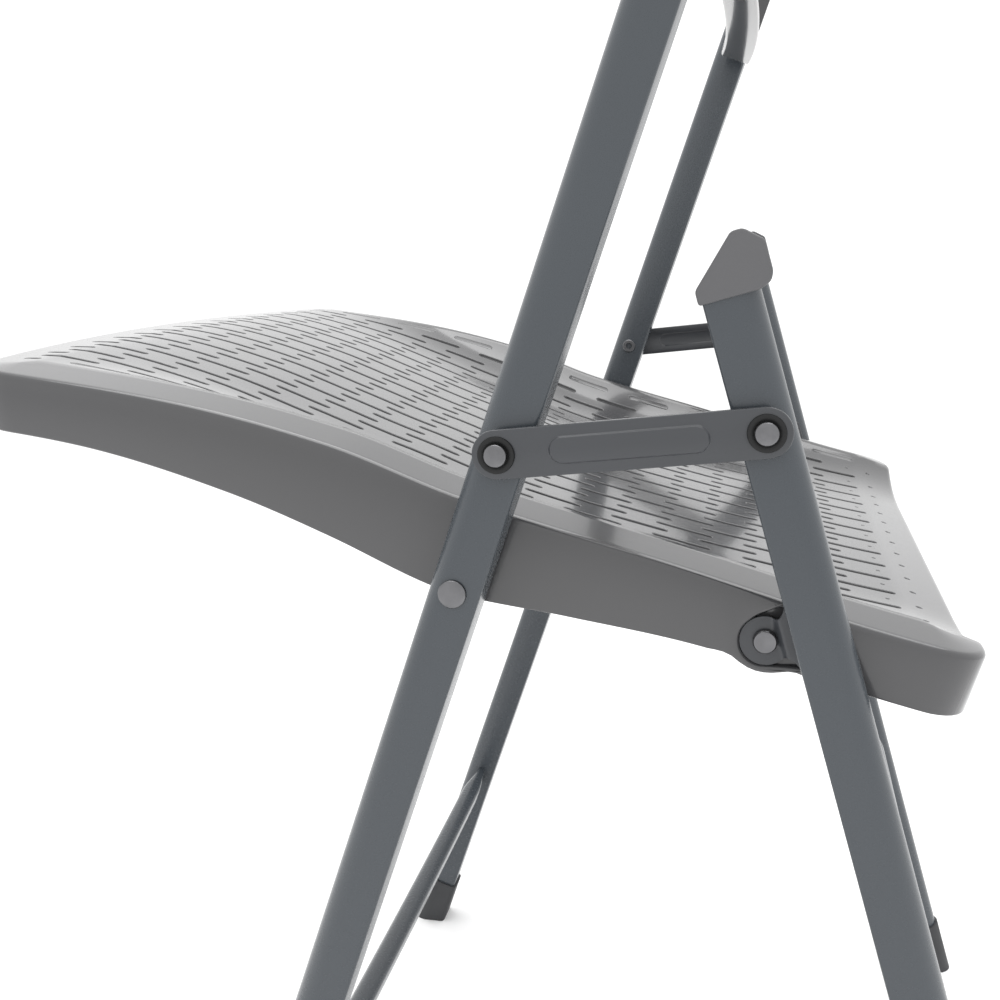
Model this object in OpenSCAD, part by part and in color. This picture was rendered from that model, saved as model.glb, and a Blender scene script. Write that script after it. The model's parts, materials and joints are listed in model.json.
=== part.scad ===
// Steel folding chair with a moulded, dished seat and a moulded back.
// Front is -X, up is +Z, the sitter's left is -Y. Origin: middle of the footprint, on the floor.

/* [Overall] */
// Width over the outer faces of the frame tubes
frame_w = 420; // [340:1:520]
// Height of the link's front pivot above the floor
link_pivot_z = 440; // [400:1:520]
// Height of the top of the uprights
upright_top_z = 826; // [740:1:980]
// Lean of the front tubes from vertical, in degrees
front_lean = 18.6; // [14:0.1:22]
// Lean of the rear legs from vertical, in degrees
rear_lean = 16.3; // [12:0.1:20]

/* [Tube] */
// Width of the D-section tube across the chair
tube_w = 17.3; // [14:0.1:24]
// Depth of the D-section tube from its flat face to its nose
tube_d = 19.6; // [16:0.1:26]
// Wall of the tubes
tube_wall = 1.2; // [0.9:0.1:2]
// Corner radius beside the flat face
tube_corner = 1.2; // [0.6:0.1:2]

/* [Linkage] */
// Distance between the two pivots of a link bar
link_len = 91.1; // [80:0.1:110]
// Rise of the link bar towards the rear, in degrees
link_rise = 6.45; // [3:0.05:10]
// Distance of the seat pivot below the link's front pivot, along the tube
seat_pivot_drop = 54.2; // [45:0.1:70]
// Distance of the rear seat hinge below the link's rear pivot, along the leg
hinge_drop = 76.8; // [65:0.1:90]
// Distance of the rear seat hinge ahead of the leg's centre plane
hinge_ahead = 20.5; // [18:0.1:26]
// Height of the rear leg's top end above the link's rear pivot
leg_top = 49; // [40:1:60]

/* [Seat] */
// Depth of the seat from the middle of its front edge to its rear edge
seat_depth = 407; // [340:1:440]
// Place of the seat's rear edge behind the link's front pivot
seat_rear = 171; // [150:1:180]
// Gap between the seat's side wall and the tubes
seat_gap = 2.6; // [2.4:0.1:6]
// Thickness of the seat's panel and walls
seat_wall = 3; // [2.4:0.1:5]
// Bow of the front edge
seat_front_bow = 18; // [0:1:40]
// Depth of the dish below the rim
dish_depth = 20; // [5:0.5:28]
// Width of the sloping rim band
rim_w = 22; // [12:1:30]
// Rise of the rim band above the wall
rim_h = 2.8; // [1:0.1:6]
// Corner radius of the seat in plan
seat_corner = 18; // [8:1:40]

/* [Back] */
// Height of the back shell along the uprights
back_h = 200; // [120:1:240]
// Distance of the back shell below the top of the uprights
back_drop = 16; // [5:1:40]
// Bow of the back towards the rear
back_bow = 24; // [5:1:40]
// Depth of the back shell's side flange
back_flange = 16; // [12:1:20]

/* [Hardware] */
// Thickness of a link bar
link_t = 2.5; // [2:0.1:4]
// Width of a link bar
link_w = 17.3; // [15:0.1:24]
// Shank of the link rivets and hinge rivets
rivet_d = 6; // [4:0.1:8]
// Head of the link rivets
rivet_head_d = 8; // [7.5:0.1:12]
// Head of the seat hinge rivets
hinge_head_d = 8.8; // [7.5:0.1:12]
// Height of a rivet head
rivet_head_h = 1.7; // [1:0.1:2.5]
// Shank of the seat pivot rivets
pivot_shank_d = 8; // [6:0.1:10]
// Head of the seat pivot rivets
pivot_head_d = 10.3; // [9:0.1:16]
// Flange of the black bushes
bush_flange_d = 13; // [11:0.1:17]
// Height of the seat pivot rivets' heads
pivot_head_h = 1.4; // [1:0.1:2]
// Thickness of the bracket plate
bracket_t = 2; // [1.5:0.1:2.2]
// Diameter of the back screws' shanks
screw_d = 4; // [3:0.1:5]
// Width and depth of the crossbars' D-section
bar_d = 12; // [10:0.1:16]
// Bow of the crossbars
bar_bow = 9; // [3:0.5:20]
// Distance of the front crossbar below the link's front pivot, along the tube
front_bar_drop = 337; // [280:1:380]
// Distance of the rear crossbar below the link's rear pivot, along the leg
rear_bar_drop = 285; // [250:1:380]
// Wall of the moulded feet and caps
boot_wall = 1.5; // [1:0.1:1.6]
// Height of the moulded feet along the leg
boot_h = 26; // [18:1:40]

/* [Hidden] */
$fn = 48;

left = -1;
right = 1;
run = 0.05;         // radial clearance of a running fit
fit = 0.02;         // radial clearance of a pressed or moulded fit
side_play = 0.1;    // gap beside a part that turns
open_gap = 0.3;     // gap at the open pivot
past = 1;           // how far a cutting tool runs past the faces it cuts
big = 1200;         // side of a box that takes in the whole chair

// Places along Y, as distances from the middle plane
tube_out = frame_w / 2;
tube_in = tube_out - tube_w;
seat_side = tube_in - seat_gap;
bush_flange_t = 1.8;
bush_lip_t = 0.9;
link_in = tube_out + side_play + bush_flange_t;
link_out = link_in + link_t;
bush_out = link_out + bush_lip_t;
head_in = bush_out + side_play;
lug_len = 12;
lug_in = seat_side - lug_len;

// Directions in the side plane, as [x, z]
front_up = [sin(front_lean), cos(front_lean)];
front_back = [cos(front_lean), -sin(front_lean)];
leg_up = [-sin(rear_lean), cos(rear_lean)];
leg_back = [cos(rear_lean), sin(rear_lean)];

// Pivots in the side plane
pivot_x = 0.6;      // centres the open chair's box on the origin
pivot_a = [pivot_x, link_pivot_z];
pivot_b = pivot_a + link_len * [cos(link_rise), sin(link_rise)];
pivot_c = pivot_b - hinge_drop * leg_up - hinge_ahead * leg_back;
pivot_d = pivot_a - seat_pivot_drop * front_up;

upright_len = (upright_top_z - link_pivot_z) / front_up[1];
front_leg_len = link_pivot_z / front_up[1];
rear_leg_len = pivot_b[1] / leg_up[1];
sole = 4;   // thickness of a foot under the tube's lowest corner
front_tube_end = front_leg_len - (sole + tube_d / 2 * abs(front_back[1])) / front_up[1];
rear_tube_end = rear_leg_len - (sole + tube_d / 2 * leg_back[1]) / leg_up[1];

// The folded pose, where the rear legs lie parallel to the front tubes
function turned(v, a) = [v[0] * cos(a) + v[1] * sin(a), v[1] * cos(a) - v[0] * sin(a)];
function bearing(v) = atan2(v[0], v[1]);
function wrapped(a) = (a + 540) % 360 - 180;
leg_turn = front_lean + rear_lean;
hinge_arm = turned(pivot_c - pivot_b, leg_turn);
centre_2 = pivot_d - hinge_arm - pivot_a;
reach = norm(centre_2);
along = (link_len ^ 2 - norm(pivot_c - pivot_d) ^ 2 + reach ^ 2) / (2 * reach);
off = sqrt(link_len ^ 2 - along ^ 2);
unit_2 = centre_2 / reach;
folded_b = pivot_a + along * unit_2 + off * [unit_2[1], -unit_2[0]];
folded_c = folded_b + hinge_arm;
seat_turn = wrapped(bearing(folded_c - pivot_d) - bearing(pivot_c - pivot_d));
link_turn = wrapped(bearing(folded_b - pivot_a) - bearing(pivot_b - pivot_a));
fold_gap = (folded_b - pivot_a) * front_back - tube_d;
echo(seat_turn = seat_turn, leg_turn = leg_turn, link_turn = link_turn, fold_gap = fold_gap);
echo(a = pivot_a, b = pivot_b, c = pivot_c, d = pivot_d, seat_side = seat_side, tube_in = tube_in);

// ---------- placing ----------

// Stands a shape drawn along Z on a side pivot, running inwards from the distance y_out
module at_pivot(p, side, y_out) {
    translate([p[0], side * y_out, p[1]]) rotate([side * 90, 0, 0]) children();
}

// A disc or pin on a side pivot between two distances from the middle plane
module pin(p, side, y_in, y_out, d) {
    at_pivot(p, side, y_out) cylinder(h = y_out - y_in, d = d);
}

// A ring on a side pivot between two distances from the middle plane
module ring(p, side, y_in, y_out, d, bore) {
    at_pivot(p, side, y_out) difference() {
        cylinder(h = y_out - y_in, d = d);
        translate([0, 0, -past]) cylinder(h = y_out - y_in + 2 * past, d = bore);
    }
}

// A rivet head with a slightly domed edge; its seat is at y_in
module rivet_head(p, side, y_in, d, h) {
    translate([p[0], side * y_in, p[1]]) rotate([-side * 90, 0, 0]) rotate_extrude()
        polygon([[0, 0], [d / 2, 0], [d / 2, h * 0.55], [d / 2 - h * 0.3, h], [0, h]]);
}

// A rolled tubular rivet end; its seat is at y_out
module rivet_tail(p, side, y_out, d, bore, h) {
    ring(p, side, y_out - h, y_out, d, bore);
}

// Puts a drawing of the side plane in place: drawn x runs along "back", drawn y along "up"
module on_leg(p, back, side, y_in, y_out) {
    translate([p[0], side * (side > 0 ? y_out : y_in), p[1]])
        rotate([0, -atan2(back[1], back[0]), 0]) rotate([90, 0, 0])
            linear_extrude(y_out - y_in) children();
}

// ---------- tubes ----------

// D outline with its flat at +x and its nose at -x
module d_outline(w, d, corner) {
    nose_x = w / 2 - d / 2;
    translate([nose_x, 0]) circle(d = w);
    translate([nose_x, -w / 2]) square([d / 2 - nose_x - corner, w]);
    translate([nose_x, -w / 2 + corner]) square([d / 2 - nose_x, w - 2 * corner]);
    for (s = [-1, 1]) translate([d / 2 - corner, s * (w / 2 - corner)]) circle(r = corner);
}

inner_corner = max(0.4, tube_corner - 0.5);

module d_tube(length) {
    linear_extrude(length) difference() {
        d_outline(tube_w, tube_d, tube_corner);
        d_outline(tube_w - 2 * tube_wall, tube_d - 2 * tube_wall, inner_corner);
    }
}

// Stands children on the front tube's line: z runs up the tube, x to the rear, flat at +x
module on_front_tube(side, below) {
    translate([pivot_a[0], side * (tube_out - tube_w / 2), pivot_a[1]])
        rotate([0, front_lean, 0]) translate([0, 0, -below]) children();
}

// The same on a rear leg; the flat faces forward
module on_rear_leg(side, below) {
    translate([pivot_b[0], side * (tube_out - tube_w / 2), pivot_b[1]])
        rotate([0, -rear_lean, 0]) translate([0, 0, -below]) rotate([0, 0, 180]) children();
}

module front_tube(side) {
    color([0.36, 0.38, 0.41]) difference() {
        on_front_tube(side, front_tube_end) d_tube(front_tube_end + upright_len);
        pin(pivot_a, side, tube_in - past, tube_out + past, rivet_d + 2 * fit);
        pin(pivot_d, side, tube_in - past, tube_out + past, pivot_shank_d + 2 * fit);
        for (s = back_screws) pin(on_upright(s), side, tube_in - past, tube_out + past, screw_d + 2 * fit);
    }
}

module rear_tube(side) {
    color([0.36, 0.38, 0.41]) difference() {
        on_rear_leg(side, rear_tube_end) d_tube(rear_tube_end + leg_top);
        pin(pivot_b, side, tube_in - past, tube_out + past, rivet_d + 2 * fit);
    }
}

bar_corner = 1.2;
bar_n = 24;         // pieces along a crossbar

function arc_pts(c, r, from, to, n) =
    [for (k = [0:n]) let (a = from + (to - from) * k / n) c + r * [cos(a), sin(a)]];

// D-section of a crossbar: flat at +x, nose at -x
function bar_section() = let (h = bar_d / 2, q = h - bar_corner)
    concat(arc_pts([0, 0], h, 90, 270, 14), arc_pts([q, -q], bar_corner, 270, 360, 3),
        arc_pts([q, q], bar_corner, 0, 90, 3));

// A bowed bar between the two sides, with its ends at p and its bow down a tube of that lean
module crossbar(p, lean, flat_side) {
    section = bar_section();
    n = len(section);
    points = [for (k = [0:bar_n])
        let (y = tube_in * (2 * k / bar_n - 1), drop = bar_bow * (1 - (y / tube_in) ^ 2))
        for (q = section) [q[0], y, q[1] - drop]];
    faces = concat([[for (i = [n - 1:-1:0]) i], [for (i = [0:n - 1]) n * bar_n + i]],
        [for (k = [0:bar_n - 1], i = [0:n - 1]) each let (a = n * k + i, b = n * k + (i + 1) % n)
            [[a, b, b + n], [a, b + n, a + n]]]);
    color([0.42, 0.44, 0.47]) translate([p[0], 0, p[1]]) rotate([0, lean, 0])
        rotate([0, 0, flat_side > 0 ? 0 : 180]) polyhedron(points, faces, convexity = 4);
}

// ---------- moulded ends ----------

foot_reach = 22;    // how far a foot is drawn below the tube's end before the floor trims it

module foot_at(side, tube_end, rear) {
    color([0.2, 0.2, 0.21]) difference() {
        intersection() {
            place_on_leg(side, tube_end + foot_reach, rear) linear_extrude(boot_h + foot_reach)
                d_outline(tube_w + 2 * boot_wall, tube_d + 2 * boot_wall, tube_corner + boot_wall);
            translate([-big / 2, -big / 2, 0]) cube(big);
        }
        place_on_leg(side, tube_end, rear) linear_extrude(boot_h + past)
            d_outline(tube_w + 2 * fit, tube_d + 2 * fit, tube_corner);
    }
}

module place_on_leg(side, below, rear) {
    if (rear) on_rear_leg(side, below) children();
    else on_front_tube(side, below) children();
}

module plug(length) {
    linear_extrude(length)
        d_outline(tube_w - 2 * (tube_wall + fit), tube_d - 2 * (tube_wall + fit), inner_corner);
}

module upright_plug(side) {
    color([0.2, 0.2, 0.21]) {
        on_front_tube(side, plug_len - upright_len) plug(plug_len + past);
        on_front_tube(side, -upright_len) linear_extrude(cap_lid) d_outline(tube_w, tube_d, tube_corner);
    }
}

// Wedge-shaped cap over the top end of a rear leg, with a plug down inside it
module leg_cap(side) {
    out = tube_out + cap_wall;
    color([0.44, 0.44, 0.45]) difference() {
        union() {
            on_leg(pivot_b, leg_back, side, tube_in - cap_wall, out) polygon(cap_outline);
            on_rear_leg(side, plug_len - leg_top) plug(plug_len);
        }
        difference() {
            on_rear_leg(side, cap_depth - leg_top) linear_extrude(cap_depth)
                d_outline(tube_w + 2 * fit, tube_d + 2 * fit, tube_corner);
            on_rear_leg(side, plug_len - leg_top) plug(plug_len);
        }
    }
}

// ---------- moulded shells ----------

function seg(pts, x, i = 0) = i >= len(pts) - 2 || x < pts[i + 1][0] ? i : seg(pts, x, i + 1);
function slope(pts, i) = let (a = max(i - 1, 0), b = min(i + 1, len(pts) - 1))
    (pts[b][1] - pts[a][1]) / (pts[b][0] - pts[a][0]);
// Height of a smooth curve through pts at x, straight beyond its ends
function curve(pts, x) =
    let (i = seg(pts, x), n = len(pts) - 1, h = pts[i + 1][0] - pts[i][0], t = (x - pts[i][0]) / h)
    t < 0 ? pts[0][1] + slope(pts, 0) * (x - pts[0][0]) :
    t > 1 ? pts[n][1] + slope(pts, n) * (x - pts[n][0]) :
    pts[i][1] * (2 * t ^ 3 - 3 * t ^ 2 + 1) + slope(pts, i) * h * (t ^ 3 - 2 * t ^ 2 + t)
    + pts[i + 1][1] * (3 * t ^ 2 - 2 * t ^ 3) + slope(pts, i + 1) * h * (t ^ 3 - t ^ 2);

corner_n = 5;       // pieces in each corner of a shell's loops
side_n = 9;         // pieces in each side of them

function clamp01(v) = min(max(v, 0), 1);
function corner_pts(c, r, a) =
    [for (k = [0:corner_n]) let (b = a + 90 * k / corner_n) c + r * [cos(b), sin(b)]];
function between(p, q) = [for (k = [1:side_n - 1]) p + (q - p) * k / side_n];

// Rounded rectangle of half sizes hx and hy, moved in by inset, as a loop of points
function loop_at(hx, hy, corner, inset) =
    let (r = max(corner - inset, 0.5), ax = hx - inset - r, ay = hy - inset - r,
         c = [corner_pts([ax, ay], r, 0), corner_pts([-ax, ay], r, 90),
              corner_pts([-ax, -ay], r, 180), corner_pts([ax, -ay], r, 270)])
    [for (i = [0:3]) each concat(c[i], between(c[i][corner_n], c[(i + 1) % 4][0]))];

// A dished shell: top(x, y, inset) is its upper face, depth(x) the height of its side wall
module moulded_shell(hx, hy, corner, insets, wall, warp, top, depth) {
    last = len(insets) - 1;
    function upper(inset) = [for (p = loop_at(hx, hy, corner, inset)) let (q = warp(p))
        [q[0], q[1], top(q[0], q[1], inset)]];
    function lower(inset) = [for (p = upper(inset)) p - [0, 0, wall]];
    function foot(inset) = [for (p = loop_at(hx, hy, corner, inset)) let (q = warp(p))
        [q[0], q[1], top(q[0], q[1], 0) - depth(q[0])]];
    inner = [for (i = insets) if (i > wall + 1) i];
    loops = concat([for (i = [last:-1:0]) upper(insets[i])], [foot(0), foot(wall), lower(wall)],
        [for (i = inner) lower(i)]);
    n = len(loops[0]);
    m = len(loops);
    hub = warp([0, 0]);
    crown = [hub[0], hub[1], top(hub[0], hub[1], insets[last])];
    points = concat([for (l = loops) each l], [crown, crown - [0, 0, wall]]);
    faces = concat(
        [for (j = [0:n - 1]) [n * m, (j + 1) % n, j]],
        [for (j = [0:n - 1]) [n * m + 1, n * (m - 1) + j, n * (m - 1) + (j + 1) % n]],
        [for (i = [0:m - 2], j = [0:n - 1]) each let (a = n * i + j, b = n * i + (j + 1) % n)
            [[a, b, b + n], [a, b + n, a + n]]]);
    polyhedron(points, faces, convexity = 6);
}

function round_over(inset, r) = let (t = clamp01(inset / r)) r * (1 - sqrt(1 - (1 - t) ^ 2));

// Seat, measured from the link's front pivot: [distance back, height]
rim_line = [[-240, 26], [-135, 12], [-70, -3], [-20, -21], [60, -43], [125, -61.5], [172, -73]];
side_wall_line = [[-240, 21], [-170, 22], [-110, 28], [-35, 36], [20, 30], [70, 25], [172, 21]];
// Depth of the dish along the seat, as a share of its greatest depth
dish_line = [[-240, 0], [-195, 0.02], [-150, 0.32], [-110, 0.7], [-70, 0.96], [0, 1], [60, 0.95],
    [100, 0.8], [156, 0.6], [172, 0.54]];
dish_side = 75;     // width over which the dish rises to the rim band
edge_round = 2;
lug_d = 19;
ear_d = 23;
sleeve_wall = 1;
pocket_d = 19.4;
pocket_depth = 2.8;
seat_hx = (seat_depth - seat_front_bow) / 2;
seat_mid_x = seat_rear - seat_hx;
seat_insets = concat([0, 0.7, edge_round, rim_w / 2],
    [for (i = [0, 12, 28, 48, 73, 100, 128, 148]) rim_w + i]);

function seat_top(x, y, inset) =
    let (crest = seat_side - rim_w, t = clamp01((abs(y) - crest + dish_side) / dish_side))
    curve(rim_line, x) + rim_h * clamp01(inset / rim_w) - round_over(inset, edge_round)
    - dish_depth * clamp01(curve(dish_line, x)) * (1 - t ^ 3);
function seat_warp(p) = let (x = p[0] + seat_mid_x)
    [x - seat_front_bow * (1 - (p[1] / seat_side) ^ 2) * (seat_rear - x) / (2 * seat_hx), p[1]];

module seat() {
    color([0.62, 0.62, 0.63]) difference() {
        union() {
            translate([pivot_a[0], 0, pivot_a[1]])
                moulded_shell(seat_hx, seat_side, seat_corner, seat_insets, seat_wall,
                    function(p) seat_warp(p),
                    function(x, y, inset) seat_top(x, y, inset), function(x) curve(side_wall_line, x));
            for (side = [left, right]) {
                pin(pivot_d, side, lug_in, seat_side - side_play, lug_d);
                pin(pivot_c, side, lug_in, seat_side - side_play, ear_d);
            }
        }
        for (side = [left, right]) {
            pin(pivot_d, side, lug_in - past, seat_side + past, pivot_sleeve_d + 2 * fit);
            pin(pivot_c, side, lug_in - past, seat_side + past, hinge_sleeve_d + 2 * fit);
            pin(pivot_c, side, seat_side - pocket_depth, seat_side + past, pocket_d);
        }
    }
}

pivot_sleeve_d = pivot_shank_d + 2 * run + 2 * sleeve_wall;
hinge_sleeve_d = rivet_d + 2 * run + 2 * sleeve_wall;

module seat_pivot_sleeves() {
    color([0.7, 0.7, 0.72]) for (side = [left, right])
        ring(pivot_d, side, lug_in, seat_side, pivot_sleeve_d, pivot_shank_d + 2 * run);
}

module seat_hinge_sleeves() {
    color([0.7, 0.7, 0.72]) for (side = [left, right])
        ring(pivot_c, side, lug_in, seat_side - pocket_depth, hinge_sleeve_d, rivet_d + 2 * run);
}

// Back shell, drawn with x up the uprights and z towards the sitter
back_side = tube_in;
back_insets = [0, 0.8, edge_round, 10, 20, 32, 48, 66, 84];
back_corner = 26;
back_rim_w = 20;
back_mid = upright_len - back_drop - back_h / 2;
back_front = 6;     // how far the shell's sides stand ahead of the tubes' centre plane
back_rim = 2.5;
back_screws = [back_mid - back_h * 0.32, back_mid + back_h * 0.32];
back_screw_back = 2;    // how far the screws stand behind the tubes' centre plane
boss_len = 12;
function on_upright(s) = pivot_a + s * front_up + back_screw_back * front_back;
function back_top(x, y, inset) =
    back_rim * sin(90 * clamp01(inset / back_rim_w)) - round_over(inset, edge_round)
    - (back_bow + back_rim) * (1 - (y / back_side) ^ 2) * clamp01(0.35 + inset / 60);

module backrest() {
    boss_d = screw_d + 6;
    color([0.62, 0.62, 0.63]) difference() {
        union() {
            translate([pivot_a[0], 0, pivot_a[1]]) rotate([0, front_lean, 0])
                translate([-back_front, 0, back_mid]) rotate([0, -90, 0])
                moulded_shell(back_h / 2, back_side, back_corner, back_insets, seat_wall,
                    function(p) p, function(x, y, inset) back_top(x, y, inset), function(x) back_flange);
            for (side = [left, right], s = back_screws)
                pin(on_upright(s), side, back_side - boss_len, back_side - side_play, boss_d);
        }
        for (side = [left, right], s = back_screws)
            pin(on_upright(s), side, back_side - boss_len - past, back_side + past, screw_d + 2 * fit);
    }
}

module backrest_screws() {
    color([0.75, 0.75, 0.77]) for (side = [left, right], s = back_screws) {
        pin(on_upright(s), side, back_side - boss_len + past, tube_out, screw_d);
        rivet_head(on_upright(s), side, tube_out, screw_d * 2, screw_d * 0.4);
    }
}

// ---------- hardware ----------

tail_h = 1.3;
tail_bore = 4;
cap_lid = 2.5;
cap_wall = 1.2;
plug_len = 16;
bush_d = rivet_d + 3;
disc_in = seat_side - pocket_depth + open_gap;
disc_out = disc_in + bracket_t;
disc_d = pocket_d - 1.6;
neck_len = 2;       // length of the head on a turning rivet's inner end
arm_out = tube_in - open_gap;
arm_in = arm_out - bracket_t;
// Outline of a cap in the side plane, from the leg's top end: [back, up]
cap_outline = [for (p = [[-11, -3.5], [9.8, -3.5], [13.6, -1.8], [15, 1], [15, 11.5], [9, 17], [5, 17],
        [-11, 1.5]])
    p + [0, leg_top]];
cap_depth = 10;     // how far the cap's solid head stands above the leg's top end
// Outline of a bracket's arm, from the hinge: [back, up]
arm_reach = hinge_ahead + 6;
arm_low = 13;
arm_high = 14;
arm_outline = [[2, -7.5], [6, -11.5], [11, -arm_low], [arm_reach, -arm_low], [arm_reach, arm_high],
    [11, arm_high], [6, 12], [2, 7.5]];

module link_bar(side) {
    rib_w = 8;
    rib_run = 54 - rib_w;   // the raised rib is 54 mm long over its round ends
    rib_h = 1;
    mid = link_len / 2;
    color([0.36, 0.38, 0.41]) difference() {
        union() {
            link_slice(side, link_in, link_out) stadium(link_len, link_w, 0);
            link_slice(side, link_out - rib_h / 2, link_out + rib_h)
                stadium(rib_run, rib_w, mid - rib_run / 2);
        }
        link_slice(side, link_in - past, link_in + rib_h)
            stadium(rib_run, rib_w - 2 * rib_h, mid - rib_run / 2);
        for (p = [pivot_a, pivot_b]) pin(p, side, link_in - past, link_out + past, bush_d + 2 * fit);
    }
}

module link_slice(side, y_in, y_out) {
    on_leg(pivot_a, [cos(link_rise), sin(link_rise)], side, y_in, y_out) children();
}

module stadium(length, w, start) {
    translate([start, 0]) {
        circle(d = w);
        translate([0, -w / 2]) square([length, w]);
        translate([length, 0]) circle(d = w);
    }
}

module bush(p, side, play) {
    color([0.13, 0.13, 0.14]) difference() {
        union() {
            pin(p, side, tube_out + play, link_in, bush_flange_d);
            pin(p, side, tube_out + play, bush_out, bush_d);
            pin(p, side, link_out, bush_out, bush_flange_d);
        }
        pin(p, side, tube_out - past, bush_out + past, rivet_d + 2 * run);
    }
}

module link_front_rivets() {
    color([0.7, 0.7, 0.72]) for (side = [left, right]) {
        pin(pivot_a, side, tube_in, head_in, rivet_d);
        rivet_head(pivot_a, side, head_in, rivet_head_d, rivet_head_h);
        rivet_tail(pivot_a, side, tube_in, rivet_head_d, tail_bore, tail_h);
    }
}

module link_rear_rivet(side) {
    color([0.7, 0.7, 0.72]) {
        pin(pivot_b, side, tube_out + open_gap, head_in, rivet_d);
        rivet_head(pivot_b, side, head_in, rivet_head_d, rivet_head_h);
    }
}

module link_rear_rivet_tails() {
    color([0.7, 0.7, 0.72]) for (side = [left, right]) {
        pin(pivot_b, side, tube_in, tube_out, rivet_d);
        rivet_tail(pivot_b, side, tube_in, rivet_head_d, tail_bore, tail_h);
    }
}

module seat_pivot_rivets() {
    color([0.7, 0.7, 0.72]) for (side = [left, right]) {
        pin(pivot_d, side, lug_in - side_play, tube_out, pivot_shank_d);
        rivet_head(pivot_d, side, tube_out, pivot_head_d, pivot_head_h);
        ring(pivot_d, side, lug_in - side_play - neck_len, lug_in - side_play, pivot_shank_d + 4, tail_bore);
    }
}

module seat_pivot_spacers() {
    color([0.2, 0.2, 0.21]) for (side = [left, right])
        ring(pivot_d, side, seat_side + side_play, tube_in, pivot_shank_d + 6, pivot_shank_d + 2 * fit);
}

module seat_hinge_rivets() {
    color([0.7, 0.7, 0.72]) for (side = [left, right]) {
        pin(pivot_c, side, lug_in - side_play, disc_out, rivet_d);
        rivet_head(pivot_c, side, disc_out, hinge_head_d, rivet_head_h);
        ring(pivot_c, side, lug_in - side_play - neck_len, lug_in - side_play, rivet_d + 4, tail_bore);
    }
}

module hinge_bracket(side) {
    cup = disc_d - 2 * bracket_t;
    pad_start = hinge_ahead - tube_d / 2 + 1;   // the pad fills the gap between the arm and the leg
    color([0.3, 0.31, 0.33]) difference() {
        union() {
            pin(pivot_c, side, disc_in, disc_out, disc_d);
            intersection() {
                pin(pivot_c, side, disc_in, arm_out, disc_d);
                on_leg(pivot_c, leg_back, side, disc_in, arm_out)
                    translate([0, -disc_d]) square([disc_d, 2 * disc_d]);
            }
            on_leg(pivot_c, leg_back, side, arm_in, arm_out) polygon(arm_outline);
            on_leg(pivot_c, leg_back, side, arm_out, tube_in)
                translate([pad_start, -arm_low]) square([arm_reach - pad_start, arm_low + arm_high]);
        }
        pin(pivot_c, side, disc_out, arm_out + past, cup);
        pin(pivot_c, side, disc_in - past, disc_out + past, rivet_d + 2 * fit);
    }
}

// ---------- nodes ----------

front_tube(left);  // front_tube_left
front_tube(right);  // front_tube_right
crossbar(pivot_a - front_bar_drop * front_up, front_lean, 1);  // front_crossbar
backrest();
backrest_screws();
for (side = [left, right]) upright_plug(side);  // upright_plugs
foot_at(left, front_tube_end, false);  // front_foot_left
foot_at(right, front_tube_end, false);  // front_foot_right
seat_pivot_rivets();
seat_pivot_spacers();
link_front_rivets();
seat();
seat_pivot_sleeves();
seat_hinge_sleeves();
rear_tube(left);  // rear_tube_left
rear_tube(right);  // rear_tube_right
crossbar(pivot_b - rear_bar_drop * leg_up, -rear_lean, -1);  // rear_crossbar
leg_cap(left);  // leg_cap_left
leg_cap(right);  // leg_cap_right
foot_at(left, rear_tube_end, true);  // rear_foot_left
foot_at(right, rear_tube_end, true);  // rear_foot_right
hinge_bracket(left);  // hinge_bracket_left
hinge_bracket(right);  // hinge_bracket_right
seat_hinge_rivets();
link_rear_rivet_tails();
link_bar(left);  // link_left
link_bar(right);  // link_right
bush(pivot_a, left, side_play);  // link_front_bush_left
bush(pivot_a, right, side_play);  // link_front_bush_right
bush(pivot_b, left, open_gap);  // link_rear_bush_left
bush(pivot_b, right, open_gap);  // link_rear_bush_right
link_rear_rivet(left);  // link_rear_rivet_left
link_rear_rivet(right);  // link_rear_rivet_right
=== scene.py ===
"""Finished looks of a folding chair with a steel tube frame and a slotted, moulded seat and back.

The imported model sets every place. Front is -X, up is +Z and the sitter's left is -Y. Sizes in the
classes are in millimetres, and meshes are made in metres.
"""

import json
import logging
import math
from dataclasses import dataclass, field
from enum import Enum
from typing import Callable, Iterable, Sequence

import bmesh
import bpy
from mathutils import Matrix, Vector
from mathutils.geometry import delaunay_2d_cdt


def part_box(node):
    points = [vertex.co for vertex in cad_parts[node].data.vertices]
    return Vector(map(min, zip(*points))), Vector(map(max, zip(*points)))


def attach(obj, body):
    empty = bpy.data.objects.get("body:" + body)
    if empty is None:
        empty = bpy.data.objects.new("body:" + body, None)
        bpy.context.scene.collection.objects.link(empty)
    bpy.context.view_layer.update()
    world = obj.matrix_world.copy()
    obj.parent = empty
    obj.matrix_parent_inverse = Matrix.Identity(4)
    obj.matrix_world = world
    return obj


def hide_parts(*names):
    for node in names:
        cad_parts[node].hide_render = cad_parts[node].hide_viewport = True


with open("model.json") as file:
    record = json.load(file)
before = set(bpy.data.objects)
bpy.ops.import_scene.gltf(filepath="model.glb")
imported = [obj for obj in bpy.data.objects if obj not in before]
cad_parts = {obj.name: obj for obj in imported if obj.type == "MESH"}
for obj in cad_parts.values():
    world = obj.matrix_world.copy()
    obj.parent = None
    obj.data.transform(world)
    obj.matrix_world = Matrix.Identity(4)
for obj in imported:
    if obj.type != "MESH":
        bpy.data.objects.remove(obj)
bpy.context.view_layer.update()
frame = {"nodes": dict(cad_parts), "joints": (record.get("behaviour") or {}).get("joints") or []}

LOG = logging.getLogger("chair")
MM = 0.001
SHARP_ANGLE = math.radians(62)

Pair = tuple[float, float]


class Side(Enum):
    """Which side of the chair a piece stands on, with its sign along Y."""

    LEFT = -1
    RIGHT = 1

    @property
    def word(self) -> str:
        """The side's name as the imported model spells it."""
        return self.name.lower()


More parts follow.
